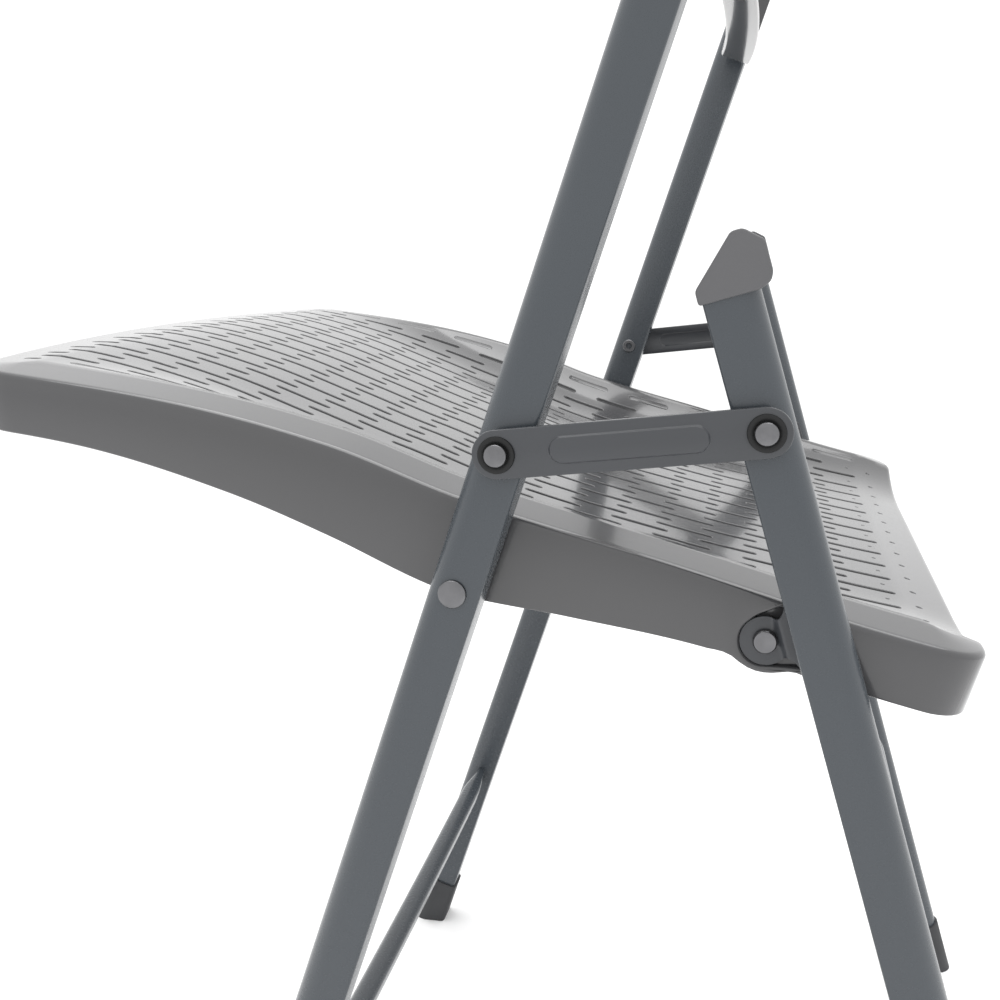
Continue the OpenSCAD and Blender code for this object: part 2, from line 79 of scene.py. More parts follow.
class Opening(Enum):
    """How deep a slot in a moulded panel goes."""

    THROUGH = "through"
    GROOVE = "groove"


# ---------- finishes ----------


def linear(colour: str) -> tuple[float, float, float, float]:
    """Turns an sRGB colour into linear light.

    Args:
        colour: Six hex digits after a hash.

    Returns:
        Linear red, green, blue and an alpha of one.
    """
    parts = [int(colour[i : i + 2], 16) / 255 for i in (1, 3, 5)]
    light = [p / 12.92 if p <= 0.04045 else ((p + 0.055) / 1.055) ** 2.4 for p in parts]
    return (light[0], light[1], light[2], 1.0)


def add_node(
    tree: bpy.types.NodeTree, kind: str, settings: dict | None = None, links: dict | None = None
) -> bpy.types.Node:
    """Adds a shader node with its settings and links.

    Args:
        tree: The material's node tree.
        kind: The node's type name.
        settings: Values for its sockets or its own properties.
        links: The output that feeds each named socket.

    Returns:
        The new node.
    """
    made = tree.nodes.new(kind)
    for name, value in (settings or {}).items():
        if name in made.inputs:
            made.inputs[name].default_value = value
        else:
            setattr(made, name, value)
    for name, source in (links or {}).items():
        tree.links.new(source, made.inputs[name])
    return made


@dataclass(frozen=True)
class Finish:
    """A finish of one real material.

    Attributes:
        name: What the material is and how its surface was made.
        slot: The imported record's slot for it.
        light: Its paler tone, sRGB.
        dark: Its darker tone, sRGB.
        roughness: The lowest and highest roughness over the surface.
        metallic: One for bare metal, else nought.
        ior: Index of refraction; a metal keeps the default.
        tone_mm: Width of the slow drift between the two tones.
        grain_mm: Width of the surface grain.
        grain_depth_mm: How deep the grain is.
        coat: Weight of a clear top layer.
        coat_roughness: Roughness of that layer.
    """

    name: str
    slot: str
    light: str
    dark: str
    roughness: Pair
    metallic: float = 0.0
    ior: float = 1.5
    tone_mm: float = 60.0
    grain_mm: float = 1.0
    grain_depth_mm: float = 0.01
    coat: float = 0.0
    coat_roughness: float = 0.1

    def material(self) -> bpy.types.Material:
        """Makes the node material, or returns the one already made.

        Returns:
            The material, named for the finish.
        """
        found = bpy.data.materials.get(self.name)
        if found:
            return found
        made = bpy.data.materials.new(self.name)
        made.use_nodes = True
        tree = made.node_tree
        tree.nodes.clear()
        place = add_node(tree, "ShaderNodeTexCoord")
        drift = add_node(
            tree,
            "ShaderNodeTexNoise",
            {"Scale": 1 / (self.tone_mm * MM), "Detail": 3.0},
            {"Vector": place.outputs["Object"]},
        )
        grain = add_node(
            tree,
            "ShaderNodeTexNoise",
            {"Scale": 1 / (self.grain_mm * MM), "Detail": 2.0},
            {"Vector": place.outputs["Object"]},
        )
        tone = add_node(
            tree,
            "ShaderNodeValToRGB",
            links={"Fac": drift.outputs["Fac"]},
        )
        tone.color_ramp.elements[0].position = 0.3
        tone.color_ramp.elements[1].position = 0.7
        tone.color_ramp.elements[0].color = linear(self.dark)
        tone.color_ramp.elements[1].color = linear(self.light)
        polish = add_node(
            tree,
            "ShaderNodeMapRange",
            {"To Min": self.roughness[0], "To Max": self.roughness[1]},
            {"Value": grain.outputs["Fac"]},
        )
        relief = add_node(
            tree,
            "ShaderNodeBump",
            {"Strength": 1.0, "Distance": self.grain_depth_mm * MM},
            {"Height": grain.outputs["Fac"]},
        )
        surface = add_node(
            tree,
            "ShaderNodeBsdfPrincipled",
            {
                "Metallic": self.metallic,
                "IOR": self.ior,
                "Coat Weight": self.coat,
                "Coat Roughness": self.coat_roughness,
            },
            {
                "Base Color": tone.outputs["Color"],
                "Roughness": polish.outputs["Result"],
                "Normal": relief.outputs["Normal"],
            },
        )
        add_node(tree, "ShaderNodeOutputMaterial", links={"Surface": surface.outputs["BSDF"]})
        return made


# Powder coat on steel: an even slate paint with a faint orange peel that softens reflections.
POWDER_COAT = Finish(
    "powder_coated_steel", "frame_paint", "#40454A", "#3E4348", (0.25, 0.29),
    ior=1.52, tone_mm=120, grain_mm=2.2, grain_depth_mm=0.0015,
)
# The same coat on the link bars and hinge plates, painted darker to stand for the shade that falls on the
# plates in the seat's hinge pockets; the link bars take the same painted shade.
POWDER_COAT_PAINTED_SHADE = Finish(
    "powder_coated_pressed_steel", "frame_paint", "#3C3E42", "#393B3E", (0.28, 0.33),
    ior=1.52, tone_mm=60, grain_mm=1.6, grain_depth_mm=0.0015,
)
# Polypropylene from a polished mould: dense grey under a glossy skin that mirrors the tubes,
# slightly waved.
MOULDED_PP = Finish(
    "moulded_polypropylene", "shell_plastic", "#444446", "#424243", (0.16, 0.22),
    ior=1.49, tone_mm=150, grain_mm=3.5, grain_depth_mm=0.003, coat=0.5, coat_roughness=0.07,
)
# Polypropylene from an etched mould: the same grey without the gloss.
ETCHED_PP = Finish(
    "etched_moulded_polypropylene", "cap_plastic", "#5A5A5C", "#565658", (0.42, 0.56),
    ior=1.49, tone_mm=40, grain_mm=0.7, grain_depth_mm=0.012,
)
# Nylon: black, waxy and faintly speckled.
NYLON = Finish(
    "moulded_black_nylon", "black_nylon", "#0A0B0C", "#08090A", (0.5, 0.6),
    ior=1.45, tone_mm=12, grain_mm=0.6, grain_depth_mm=0.008,
)
# Soft polymer of the soles: dull and dark, so the tube ends read as separate pieces.
SOLE_RUBBER = Finish(
    "moulded_thermoplastic_rubber", "foot_plastic", "#38393B", "#323335", (0.6, 0.75),
    ior=1.5, tone_mm=20, grain_mm=0.9, grain_depth_mm=0.02,
)
# Zinc plate on steel: pale bare metal with the fine marks of heading and plating.
ZINC_PLATE = Finish(
    "zinc_plated_steel", "rivet_steel", "#78787A", "#6C6C6E", (0.26, 0.36),
    metallic=1.0, tone_mm=5, grain_mm=0.5, grain_depth_mm=0.004,
)


# ---------- mesh helpers ----------


def clamp01(value: float) -> float:
    """Holds a value between nought and one."""
    return min(max(value, 0.0), 1.0)


def smooth_step(value: float) -> float:
    """Eases a value between nought and one."""
    t = clamp01(value)
    return t * t * (3 - 2 * t)


def smooth_curve(points: Sequence[Pair], x: float) -> float:
    """Height of a smooth curve through some points, straight beyond its ends.

    Args:
        points: Places and heights in rising order of place.
        x: Where to read it.

    Returns:
        The height at x.
    """

    def slope(i: int) -> float:
        """Slope at point i, from its neighbours."""
        a, b = max(i - 1, 0), min(i + 1, len(points) - 1)
        return (points[b][1] - points[a][1]) / (points[b][0] - points[a][0])

    i = 0
    while i < len(points) - 2 and x >= points[i + 1][0]:
        i += 1
    h = points[i + 1][0] - points[i][0]
    t = (x - points[i][0]) / h
    if t < 0:
        return points[0][1] + slope(0) * (x - points[0][0])
    if t > 1:
        return points[-1][1] + slope(len(points) - 1) * (x - points[-1][0])
    return (
        points[i][1] * (2 * t**3 - 3 * t**2 + 1)
        + slope(i) * h * (t**3 - 2 * t**2 + t)
        + points[i + 1][1] * (3 * t**2 - 2 * t**3)
        + slope(i + 1) * h * (t**3 - t**2)
    )


def arc(centre: Pair, radius: float, start: float, end: float, pieces: int) -> list[Pair]:
    """Points along an arc.

    Args:
        centre: Its centre.
        radius: Its radius.
        start: First angle in degrees.
        end: Last angle in degrees.
        pieces: How many chords.

    Returns:
        The points in order, with both ends.
    """
    out = []
    for k in range(pieces + 1):
        a = math.radians(start + (end - start) * k / pieces)
        out.append((centre[0] + radius * math.cos(a), centre[1] + radius * math.sin(a)))
    return out


def stadium(start: Pair, end: float, radius: float, round_n: int = 8, side_n: int = 3) -> list[Pair]:
    """A slot's outline: two half circles joined by straight sides along x.

    Args:
        start: Centre of the first half circle.
        end: Place of the second half circle's centre along x.
        radius: Their radius.
        round_n: Chords in each half circle.
        side_n: Pieces in each straight side.

    Returns:
        The outline, counter-clockwise.
    """
    x0, y = start
    out = arc((end, y), radius, -90, 90, round_n)
    out += [(end + (x0 - end) * k / side_n, y + radius) for k in range(1, side_n)]
    out += arc((x0, y), radius, 90, 270, round_n)
    out += [(x0 + (end - x0) * k / side_n, y - radius) for k in range(1, side_n)]
    return out


def d_outline(width: float, depth: float, corner: float, pieces: int = 20) -> list[Pair]:
    """A D-section: its flat at +x and its round nose at -x.

    Args:
        width: Across the chair.
        depth: From the flat to the nose.
        corner: Radius beside the flat.
        pieces: Chords round the nose.

    Returns:
        The outline, counter-clockwise.
    """
    nose = width / 2 - depth / 2
    flat = depth / 2 - corner
    side = width / 2 - corner
    return (
        arc((nose, 0), width / 2, 90, 270, pieces)
        + arc((flat, -side), corner, 270, 360, 5)
        + arc((flat, side), corner, 0, 90, 5)
    )


def rounded(outline: Sequence[Pair], radius: float, pieces: int = 5) -> list[Pair]:
    """Rounds the corners of an outline.

    Args:
        outline: Its corners.
        radius: The largest radius; short sides get a smaller one.
        pieces: Chords in each corner.

    Returns:
        The outline with a curve at each corner.
    """
    out: list[Pair] = []
    n = len(outline)
    for i in range(n):
        p, q, r = (Vector(outline[(i + k) % n]) for k in (-1, 0, 1))
        reach = min(radius, (p - q).length * 0.45, (r - q).length * 0.45)
        a, b = q + (p - q).normalized() * reach, q + (r - q).normalized() * reach
        for k in range(pieces + 1):
            t = k / pieces
            v = a * (1 - t) ** 2 + q * (2 * t * (1 - t)) + b * t**2
            out.append((v.x, v.y))
    return out


def moved_in(outline: Sequence[Pair], by: float) -> list[Pair]:
    """Moves a counter-clockwise outline's points inwards.

    Args:
        outline: The points in order.
        by: How far.

    Returns:
        The moved points.
    """
    n = len(outline)
    out = []
    for i in range(n):
        p, q, r = (Vector(outline[(i + k) % n]) for k in (-1, 0, 1))
        run = (r - p).normalized()
        out.append((q.x - run.y * by, q.y + run.x * by))
    return out


def inside(outline: Sequence[Pair], point: Pair, gap: float) -> bool:
    """True if a point is inside an outline and further than the gap from its corners.

    Args:
        outline: The points in order.
        point: The point to test.
        gap: Least distance from the outline's points.

    Returns:
        Whether it lies well inside.
    """
    x, y = point
    hit = False
    for (x0, y0), (x1, y1) in zip(outline, [*outline[1:], outline[0]]):
        if math.hypot(x - x0, y - y0) < gap:
            return False
        if (y0 > y) != (y1 > y) and x < (x1 - x0) * (y - y0) / (y1 - y0) + x0:
            hit = not hit
    return hit


def edge_steps(span: Pair, edge: float, steps: int = 3) -> list[Pair]:
    """Insets and heights that round both edges of a plate.

    Args:
        span: Heights of its two faces.
        edge: Radius of the edges.
        steps: Chords in each edge.

    Returns:
        Pairs of inset and height, from the lower face to the upper.
    """
    low = []
    for k in range(steps + 1):
        a = math.pi / 2 * k / steps
        low.append((edge * (1 - math.sin(a)), edge * (1 - math.cos(a))))
    rising = [(inset, span[0] + height) for inset, height in low]
    return rising + [(inset, span[1] - height) for inset, height in reversed(low)]


class Shape:
    """Points in millimetres and faces, gathered before they become a mesh."""

    def __init__(self) -> None:
        """Starts empty."""
        self.points: list[Vector] = []
        self.faces: list[tuple[int, ...]] = []
        self.aims: dict[int, Vector] = {}

    def ring(self, points: Iterable[Sequence[float]]) -> list[int]:
        """Adds points in order and returns their numbers.

        Args:
            points: Places in millimetres.

        Returns:
            The numbers of the new points.
        """
        start = len(self.points)
        self.points.extend(Vector(p) for p in points)
        return list(range(start, len(self.points)))

    def bridge(self, a: Sequence[int], b: Sequence[int], skip: Iterable[int] = ()) -> None:
        """Joins two closed rings of equal length with quads, leaving out the skipped ones.

        Args:
            a: First ring.
            b: Second ring.
            skip: Places along the rings that get no quad.
        """
        left_out = set(skip)
        n = len(a)
        for i in range(n):
            if i not in left_out:
                j = (i + 1) % n
                self.faces.append((a[i], a[j], b[j], b[i]))

    def loft(self, rings: Sequence[Sequence[int]]) -> None:
        """Joins rings one after another and closes both ends."""
        for a, b in zip(rings, rings[1:]):
            self.bridge(a, b)
        self.faces += [tuple(reversed(rings[0])), tuple(rings[-1])]

    def lathe(self, profile: Sequence[Pair], place: Matrix, pieces: int = 48) -> None:
        """Turns a profile about the local z axis into a closed solid.

        Args:
            profile: Radius and height of each ring, from one end to the other.
            place: Carries the local axes to the row frame, in millimetres.
            pieces: Facets round it.
        """
        rings = []
        for radius, height in profile:
            turn = (2 * math.pi * k / pieces for k in range(pieces))
            rings.append(
                self.ring(place @ Vector((radius * math.cos(a), radius * math.sin(a), height)) for a in turn)
            )
        self.loft(rings)

    def slab(self, outline: Sequence[Pair], span: Pair, edge: float, place: Callable) -> None:
        """A plate of any outline with rounded edges on both faces.

        Args:
            outline: Its counter-clockwise outline.
            span: Heights of its two faces.
            edge: Radius of the edges.
            place: Carries (x, y, height) to a point.
        """
        self.loft([
            self.ring(place(x, y, height) for x, y in moved_in(outline, inset))
            for inset, height in edge_steps(span, edge)
        ])

    def patch(
        self, rim: Sequence[int], holes: Sequence[Sequence[int]], inner: Sequence[int], flat: Callable
    ) -> list[tuple[int, ...]]:
        """Fills a rim with triangles round its holes.

        Args:
            rim: The outer loop's point numbers.
            holes: Loops to leave open.
            inner: Points inside that the triangles use.
            flat: Gives a point's place in the plane in which the fill is laid out.

        Returns:
            The triangles, which are added to the faces too.
        """
        used = list(rim) + [i for h in holes for i in h] + list(inner)
        number = {p: k for k, p in enumerate(used)}
        flats = [Vector(flat(self.points[i])) for i in used]
        loops = []
        for loop in [rim, *holes]:
            ids = [number[i] for i in loop]
            area = sum(flats[a].cross(flats[b]) for a, b in zip(ids, ids[1:] + ids[:1]))
            loops.append(ids if area > 0 else ids[::-1])
        made = delaunay_2d_cdt(flats, [], loops, 1, 1e-7, True)
        back = [used[ids[0]] if ids else -1 for ids in made[3]]
        triangles = [
            tuple(back[v] for v in face)
            for face, owners in zip(made[2], made[5])
            if list(owners) == [0]
        ]
        triangles = [t for t in triangles if -1 not in t]
        self.faces += triangles
        return triangles

    def build(self, name: str, place: Matrix | None = None, sharp: float = SHARP_ANGLE) -> bpy.types.Object:
        """Makes the mesh object.

        Args:
            name: The piece's name.
            place: Carries the points to the row frame, in millimetres.
            sharp: Edges steeper than this angle stay crisp.

        Returns:
            The new object, linked to the scene.
        """
        carry = Matrix.Scale(MM, 4) @ (place or Matrix.Identity(4))
        mesh = bpy.data.meshes.new(name)
        mesh.from_pydata([carry @ p for p in self.points], [], self.faces)
        work = bmesh.new()
        work.from_mesh(mesh)
        bmesh.ops.recalc_face_normals(work, faces=work.faces)
        work.to_mesh(mesh)
        work.free()
        mesh.polygons.foreach_set("use_smooth", [True] * len(mesh.polygons))
        mesh.set_sharp_from_angle(angle=sharp)
        if self.aims:
            turn = carry.to_3x3()
            normals = [
                (turn @ self.aims[i]).normalized() if i in self.aims else Vector((0, 0, 0))
                for i in range(len(self.points))
            ]
            mesh.normals_split_custom_set_from_vertices(normals)
        made = bpy.data.objects.new(name, mesh)
        bpy.context.scene.collection.objects.link(made)
        return made


def finish_piece(piece: bpy.types.Object, finish: Finish, body: str, nodes: Sequence[str] = ()) -> None:
    """Gives a new piece its material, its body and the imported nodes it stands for.

    Args:
        piece: The mesh object.
        finish: What it is made of.
        body: The body it rides on.
        nodes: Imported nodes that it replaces.
    """
    piece.data.materials.append(finish.material())
    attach(piece, body)
    if nodes:
        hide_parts(*nodes)
    LOG.info("%s: %s on %s", piece.name, finish.name, body)


def dress_node(node: str, finish: Finish, edge_mm: float, sharp_deg: float = 32) -> None:
    """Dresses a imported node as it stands: joined facets, eased edges and a finish.

    Args:
        node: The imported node.
        finish: What it is made of.
        edge_mm: Width of the eased edges.
        sharp_deg: Edges steeper than this angle are eased.
    """
    thing = frame["nodes"][node]
    thing.data.materials.clear()
    thing.data.materials.append(finish.material())
    weld = thing.modifiers.new("joined", "WELD")
    weld.merge_threshold = 2e-6
    ease = thing.modifiers.new("eased", "BEVEL")
    ease.width = edge_mm * MM
    ease.segments = 2
    ease.limit_method = "ANGLE"
    ease.angle_limit = math.radians(sharp_deg)
    ease.harden_normals = True
    LOG.info("%s: %s, eased %.1f mm", node, finish.name, edge_mm)


# ---------- where things are ----------


@dataclass(frozen=True)
class Layout:
    """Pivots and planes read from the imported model, in millimetres.

    Attributes:
        a: The link's front pivot, as (x, z).
        b: The link's rear pivot.
        c: The seat's rear hinge.
        d: The seat's pivot on the front tubes.
        tube_out: The tubes' outer faces, from the middle plane.
        tube_in: Their inner faces.
        seat_side: The seat's side walls.
        front_lean: Lean of the front tubes, in degrees.
        rear_lean: Lean of the rear legs, in degrees.
    """

    a: Pair
    b: Pair
    c: Pair
    d: Pair
    tube_out: float
    tube_in: float
    seat_side: float
    front_lean: float = 18.6
    rear_lean: float = 16.3

    @classmethod
    def read(cls) -> "Layout":
        """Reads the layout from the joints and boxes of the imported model.

        Returns:
            The layout, in millimetres.
        """
        joints = {j["name"]: j["pos_m"] for j in frame["joints"]}

        def pivot(name: str) -> Pair:
            """Place of a joint as (x, z)."""
            return (joints[name][0] / MM, joints[name][2] / MM)

        tail = [v / MM for v in (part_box("link_rear_rivet_left")[0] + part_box("link_rear_rivet_left")[1]) / 2]
        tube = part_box("front_tube_right")
        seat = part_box("seat")
        return cls(
            a=pivot("link_left_turn"),
            b=(tail[0], tail[2]),
            c=pivot("rear_leg_fold"),
            d=pivot("seat_fold"),
            tube_out=tube[1].y / MM,
            tube_in=tube[0].y / MM,
            seat_side=seat[1].y / MM,
        )

    def tube_frame(self, side: Side, rear: bool) -> Matrix:
        """The frame of a tube: z up the tube, x along its depth with the flat at +x.

        Args:
            side: Which side of the chair.
            rear: A rear leg rather than a front tube.

        Returns:
            The matrix from that frame to the row frame, in millimetres.
        """
        pivot = self.b if rear else self.a
        lean = -self.rear_lean if rear else self.front_lean
        middle = side.value * (self.tube_out + self.tube_in) / 2
        turn = Matrix.Rotation(math.radians(lean), 4, "Y")
        placed = Matrix.Translation((pivot[0], middle, pivot[1])) @ turn
        return placed @ Matrix.Rotation(math.pi, 4, "Z") if rear else placed

    def axle(self, pivot: Pair, side: Side, y: float) -> Matrix:
        """The frame of a pin: z points outwards from the distance y on a pivot."""
        turn = Matrix.Rotation(math.radians(-90 * side.value), 4, "X")
        return Matrix.Translation((pivot[0], side.value * y, pivot[1])) @ turn


# ---------- tubes ----------


@dataclass
class TubeFrame:
    """The straight D-section tubes, the crossbars, and their moulded ends.

    Attributes:
        width: Of the tubes across the chair.
        depth: Of the tubes from flat to nose.
        corner: Radius beside the flat.
        bar: Size of the crossbars' section.
        bar_bow: How far the crossbars hang in the middle.
        front_bar_drop: Place of the front crossbar below the link's front pivot.
        rear_bar_drop: Place of the rear crossbar below the link's rear pivot.
        squeeze_len: Length over which a crossbar's end is squeezed.
        squeezed: Its thickness and width at the very end, as shares of the bar's.
        bar_corner: Corner radius of the crossbars' section.
        tube_rings: Pieces along a tube.
        bar_rings: Pieces along half a crossbar.
    """

    layout: Layout
    width: float = 17.3
    depth: float = 19.6
    corner: float = 1.6
    bar: float = 12.0
    bar_bow: float = 9.0
    front_bar_drop: float = 337.0
    rear_bar_drop: float = 285.0
    squeeze_len: float = 26.0
    squeezed: Pair = (0.5, 1.12)
    bar_corner: float = 1.4
    tube_rings: int = 12
    bar_rings: int = 32

    def tube(self, side: Side, rear: bool) -> None:
        """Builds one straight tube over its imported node.

        Args:
            side: Which side of the chair.
            rear: A rear leg rather than a front tube.
        """
        node = f"{'rear' if rear else 'front'}_tube_{side.word}"
        place = self.layout.tube_frame(side, rear)
        low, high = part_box(node)
        lean = math.radians(self.layout.rear_lean if rear else self.layout.front_lean)
        half = self.depth / 2 * math.sin(lean)
        start = ((low.z / MM + half) - place.translation.z) / math.cos(lean)
        end = ((high.z / MM - half) - place.translation.z) / math.cos(lean)
        shape = Shape()
        rings = []
        for k in range(self.tube_rings + 1):
            z = start + (end - start) * k / self.tube_rings
            rings.append(shape.ring((x, y, z) for x, y in d_outline(self.width, self.depth, self.corner)))
        shape.loft(rings)
        name = f"{'rear_leg' if rear else 'front_upright'}_{side.word}"
        body = "rear_frame" if rear else "front_frame"
        finish_piece(shape.build(name, place, math.radians(50)), POWDER_COAT, body, [node])

    def crossbar(self, rear: bool) -> None:
        """Builds a bowed crossbar whose ends are squeezed flat before they meet the tubes.

        Args:
            rear: The rear crossbar rather than the front one.
        """
        node = f"{'rear' if rear else 'front'}_crossbar"
        pivot = self.layout.b if rear else self.layout.a
        lean = -self.layout.rear_lean if rear else self.layout.front_lean
        drop = self.rear_bar_drop if rear else self.front_bar_drop
        turn = Matrix.Rotation(math.radians(lean), 4, "Y")
        up = turn @ Vector((0, 0, 1))
        place = Matrix.Translation(Vector((pivot[0], 0, pivot[1])) - up * drop) @ turn
        if rear:
            place = place @ Matrix.Rotation(math.pi, 4, "Z")
        shape = Shape()
        rings = []
        reach = self.layout.tube_in
        outline = d_outline(self.bar, self.bar, self.bar_corner, 16)
        for k in range(2 * self.bar_rings + 1):
            y = reach * math.sin(math.pi / 2 * (k / self.bar_rings - 1))
            sag = self.bar_bow * (1 - (y / reach) ** 2)
            full = smooth_step((reach - abs(y)) / self.squeeze_len)
            thin, wide = (share + (1 - share) * full for share in self.squeezed)
            rings.append(shape.ring((x * thin, y, z * wide - sag) for x, z in outline))
        shape.loft(rings)
        name = f"{'rear' if rear else 'front'}_stretcher"
        body = "rear_frame" if rear else "front_frame"
        finish_piece(shape.build(name, place, math.radians(50)), POWDER_COAT, body, [node])

    def build(self) -> None:
        """Builds both pairs of tubes, both crossbars, and dresses their moulded ends."""
        for side in Side:
            for rear in (False, True):
                self.tube(side, rear)
                dress_node(f"{'rear' if rear else 'front'}_foot_{side.word}", SOLE_RUBBER, 0.7)
        for rear in (False, True):
            self.crossbar(rear)
        dress_node("upright_plugs", SOLE_RUBBER, 0.5)


# ---------- moulded panels ----------


@dataclass(frozen=True)
class Slot:
    """One slot: its two round centres along x, its place along y, its radius and how deep it goes."""

    start: float
    end: float
    y: float
    radius: float
    opening: Opening


@dataclass
class Panel:
    """A dished, slotted, moulded shell with a side wall all round.

    Attributes:
        layout: Places shared by the whole chair.
        half_x: Half its length in plan.
        half_y: Half its width in plan.
        corner: Corner radius in plan.
        wall: Thickness.
        edge_round: Radius of the outer edge.
        lip: How far in from the edge the slotted part may start.
        row_pitch: Distance between rows of slots.
        slot_pitch: Distance between slots in a row.
        slot_length: Length of a slot over its round ends.
        slot_width: Width of a slot.
        rows: How many rows of slots; the outermost two are shallow.
        slots: The slots, once they are laid out.
    """

    layout: Layout
    half_x: float
    half_y: float
    corner: float
    wall: float = 3.0
    edge_round: float = 2.0
    lip: float = 8.0
    row_pitch: float = 10.73
    slot_pitch: float = 39.34
    slot_length: float = 25.5
    slot_width: float = 3.3
    rows: int = 31
    slots: list[Slot] = field(default_factory=list)

    def height(self, x: float, y: float, inset: float) -> float:
        """Height of the upper face."""
        raise NotImplementedError

    def foot(self, x: float, y: float) -> float:
        """Height of the side wall's lower edge."""
        raise NotImplementedError

    def warp(self, u: float, y: float) -> Pair:
        """Carries the plain rounded rectangle to the real outline."""
        return (u, y)

    def unwarp(self, x: float, y: float) -> float:
        """The reverse of warp, for x alone."""
        return x

    def inset(self, x: float, y: float) -> float:
        """How far a point lies inside the outline.

        Args:
            x: Place along the panel.
            y: Place across it.

        Returns:
            The distance, negative outside the outline.
        """
        qx = abs(self.unwarp(x, y)) - (self.half_x - self.corner)
        qy = abs(y) - (self.half_y - self.corner)
        outside = math.hypot(max(qx, 0), max(qy, 0))
        return self.corner - min(max(qx, qy), 0) - outside

    def loop(self, inset: float, step: float = 3.2) -> list[Pair]:
        """The outline moved inwards, as evenly spaced points.

        Args:
            inset: How far in.
            step: Spacing of the points on the straight sides.

        Returns:
            Points in plan, counter-clockwise, always as many for the same step.
        """
        r = max(self.corner - inset, 0.5)
        ax, ay = self.half_x - inset - r, self.half_y - inset - r
        out: list[Pair] = []
        counts = (round(2 * self.half_x / step), round(2 * self.half_y / (step * 1.3)))
        centres = ((ax, ay), (-ax, ay), (-ax, -ay), (ax, -ay))
        for i, centre in enumerate(centres):
            bend = arc(centre, r, 90 * i, 90 * i + 90, 9)
            nxt = arc(centres[(i + 1) % 4], r, 90 * i + 90, 90 * i + 180, 9)[0]
            out += bend
            n = counts[i % 2]
            out += [
                (bend[-1][0] + (nxt[0] - bend[-1][0]) * k / n, bend[-1][1] + (nxt[1] - bend[-1][1]) * k / n)
                for k in range(1, n)
            ]
        return [self.warp(u, y) for u, y in out]

    def lift(self, x: float, y: float) -> float:
        """Height of the upper face at a point in plan."""
        return self.height(x, y, self.inset(x, y))

    def aim(self, x: float, y: float, reach: float = 1.2) -> Vector:
        """The upper face's normal, smoothed over a short reach.

        Args:
            x: Place along the panel.
            y: Place across it.
            reach: How far to each side the heights are read.

        Returns:
            The unit normal.
        """
        dx = self.lift(x + reach, y) - self.lift(x - reach, y)
        dy = self.lift(x, y + reach) - self.lift(x, y - reach)
        return Vector((-dx, -dy, 2 * reach)).normalized()

    def row_place(self, row: int) -> tuple[float, Opening]:
        """Place of a row along y, and how deep its slots go.

        Args:
            row: Number of the row.

        Returns:
            The row's y and its kind of slot.
        """
        edge_row = row in (0, self.rows - 1)
        y = (row - (self.rows - 1) // 2) * self.row_pitch
        return y, Opening.GROOVE if edge_row else Opening.THROUGH

    def near_slot(self, x: float, y: float, gap: float) -> bool:
        """True if a point lies in a slot or closer to one than the gap."""
        for s in self.slots:
            if abs(y - s.y) < s.radius + gap:
                run = min(max(x, s.start), s.end)
                if math.hypot(x - run, y - s.y) < s.radius + gap:
                    return True
        return False

    def inner_points(self) -> list[Pair]:
        """Extra points between the slots that carry the dished form.

        Returns:
            Points in plan.
        """
        out = []
        for inset in (10.5, 13, 16, 19, 22, 24.5, 28, 33):
            out += [p for p in self.loop(inset, 4.4) if not self.near_slot(*p, 0.9)]
        rows = int(self.half_y / (self.row_pitch / 2))
        for j in range(-rows, rows + 1):
            y = j * self.row_pitch / 2
            for k in range(-50, 51):
                x = self.warp(0, y)[0] + k * 5.0
                if self.inset(x, y) > 36 and not self.near_slot(x, y, 0.9):
                    out.append((x, y))
        return out

    def shape(self) -> Shape:
        """Builds the whole shell as one closed shape.

        Returns:
            The shape, with aimed normals over the slotted face.
        """
        shape = Shape()
        edge = [0.0, 0.12, 0.45, 1.0, self.edge_round, 3.4, 5.4, self.lip]
        tops = {}
        for inset in edge:
            tops[inset] = shape.ring((x, y, self.height(x, y, inset)) for x, y in self.loop(inset))
        for a, b in zip(edge, edge[1:]):
            shape.bridge(tops[a], tops[b])
        bevel, dip = 0.38, 0.32
        holes, lips, floors = [], [], []
        for s in self.slots:
            wide = stadium((s.start, s.y), s.end, s.radius + bevel)
            true = stadium((s.start, s.y), s.end, s.radius)
            holes.append(shape.ring((x, y, self.lift(x, y)) for x, y in wide))
            lips.append(shape.ring((x, y, self.lift(x, y) - dip) for x, y in true))
            shape.bridge(holes[-1], lips[-1])
            if s.opening is Opening.GROOVE:
                low = stadium((s.start, s.y), s.end, s.radius * 0.6)
                floors.append(shape.ring((x, y, self.lift(x, y) - 1.0) for x, y in low))
                shape.bridge(lips[-1], floors[-1])
                shape.faces.append(tuple(floors[-1]))
        inner = shape.ring((x, y, self.lift(x, y)) for x, y in self.inner_points())
        top_faces = shape.patch(tops[self.lip], holes, inner, lambda p: (p.x, p.y))
        aimed = set(tops[self.lip]) | set(inner) | {i for h in holes for i in h}
        for i in aimed:
            p = shape.points[i]
            shape.aims[i] = self.aim(p.x, p.y)
        for inset in edge[4:-1]:
            for i in tops[inset]:
                p = shape.points[i]
                shape.aims[i] = self.aim(p.x, p.y, 0.5)
        under: dict[int, int] = {}

        def below(i: int) -> int:
            """The lower face's point under a point of the upper face."""
            if i not in under:
                p = shape.points[i]
                under[i] = shape.ring([(p.x, p.y, p.z - self.wall)])[0]
            return under[i]

        shape.faces += [tuple(below(i) for i in reversed(t)) for t in top_faces]
        for s, hole, lip_ring in zip(self.slots, holes, lips):
            lower = [below(i) for i in hole]
            if s.opening is Opening.THROUGH:
                shape.bridge(lip_ring, lower)
            else:
                shape.faces.append(tuple(reversed(lower)))
        self.skirt(shape, tops[0.0], [below(i) for i in tops[self.lip]])
        return shape

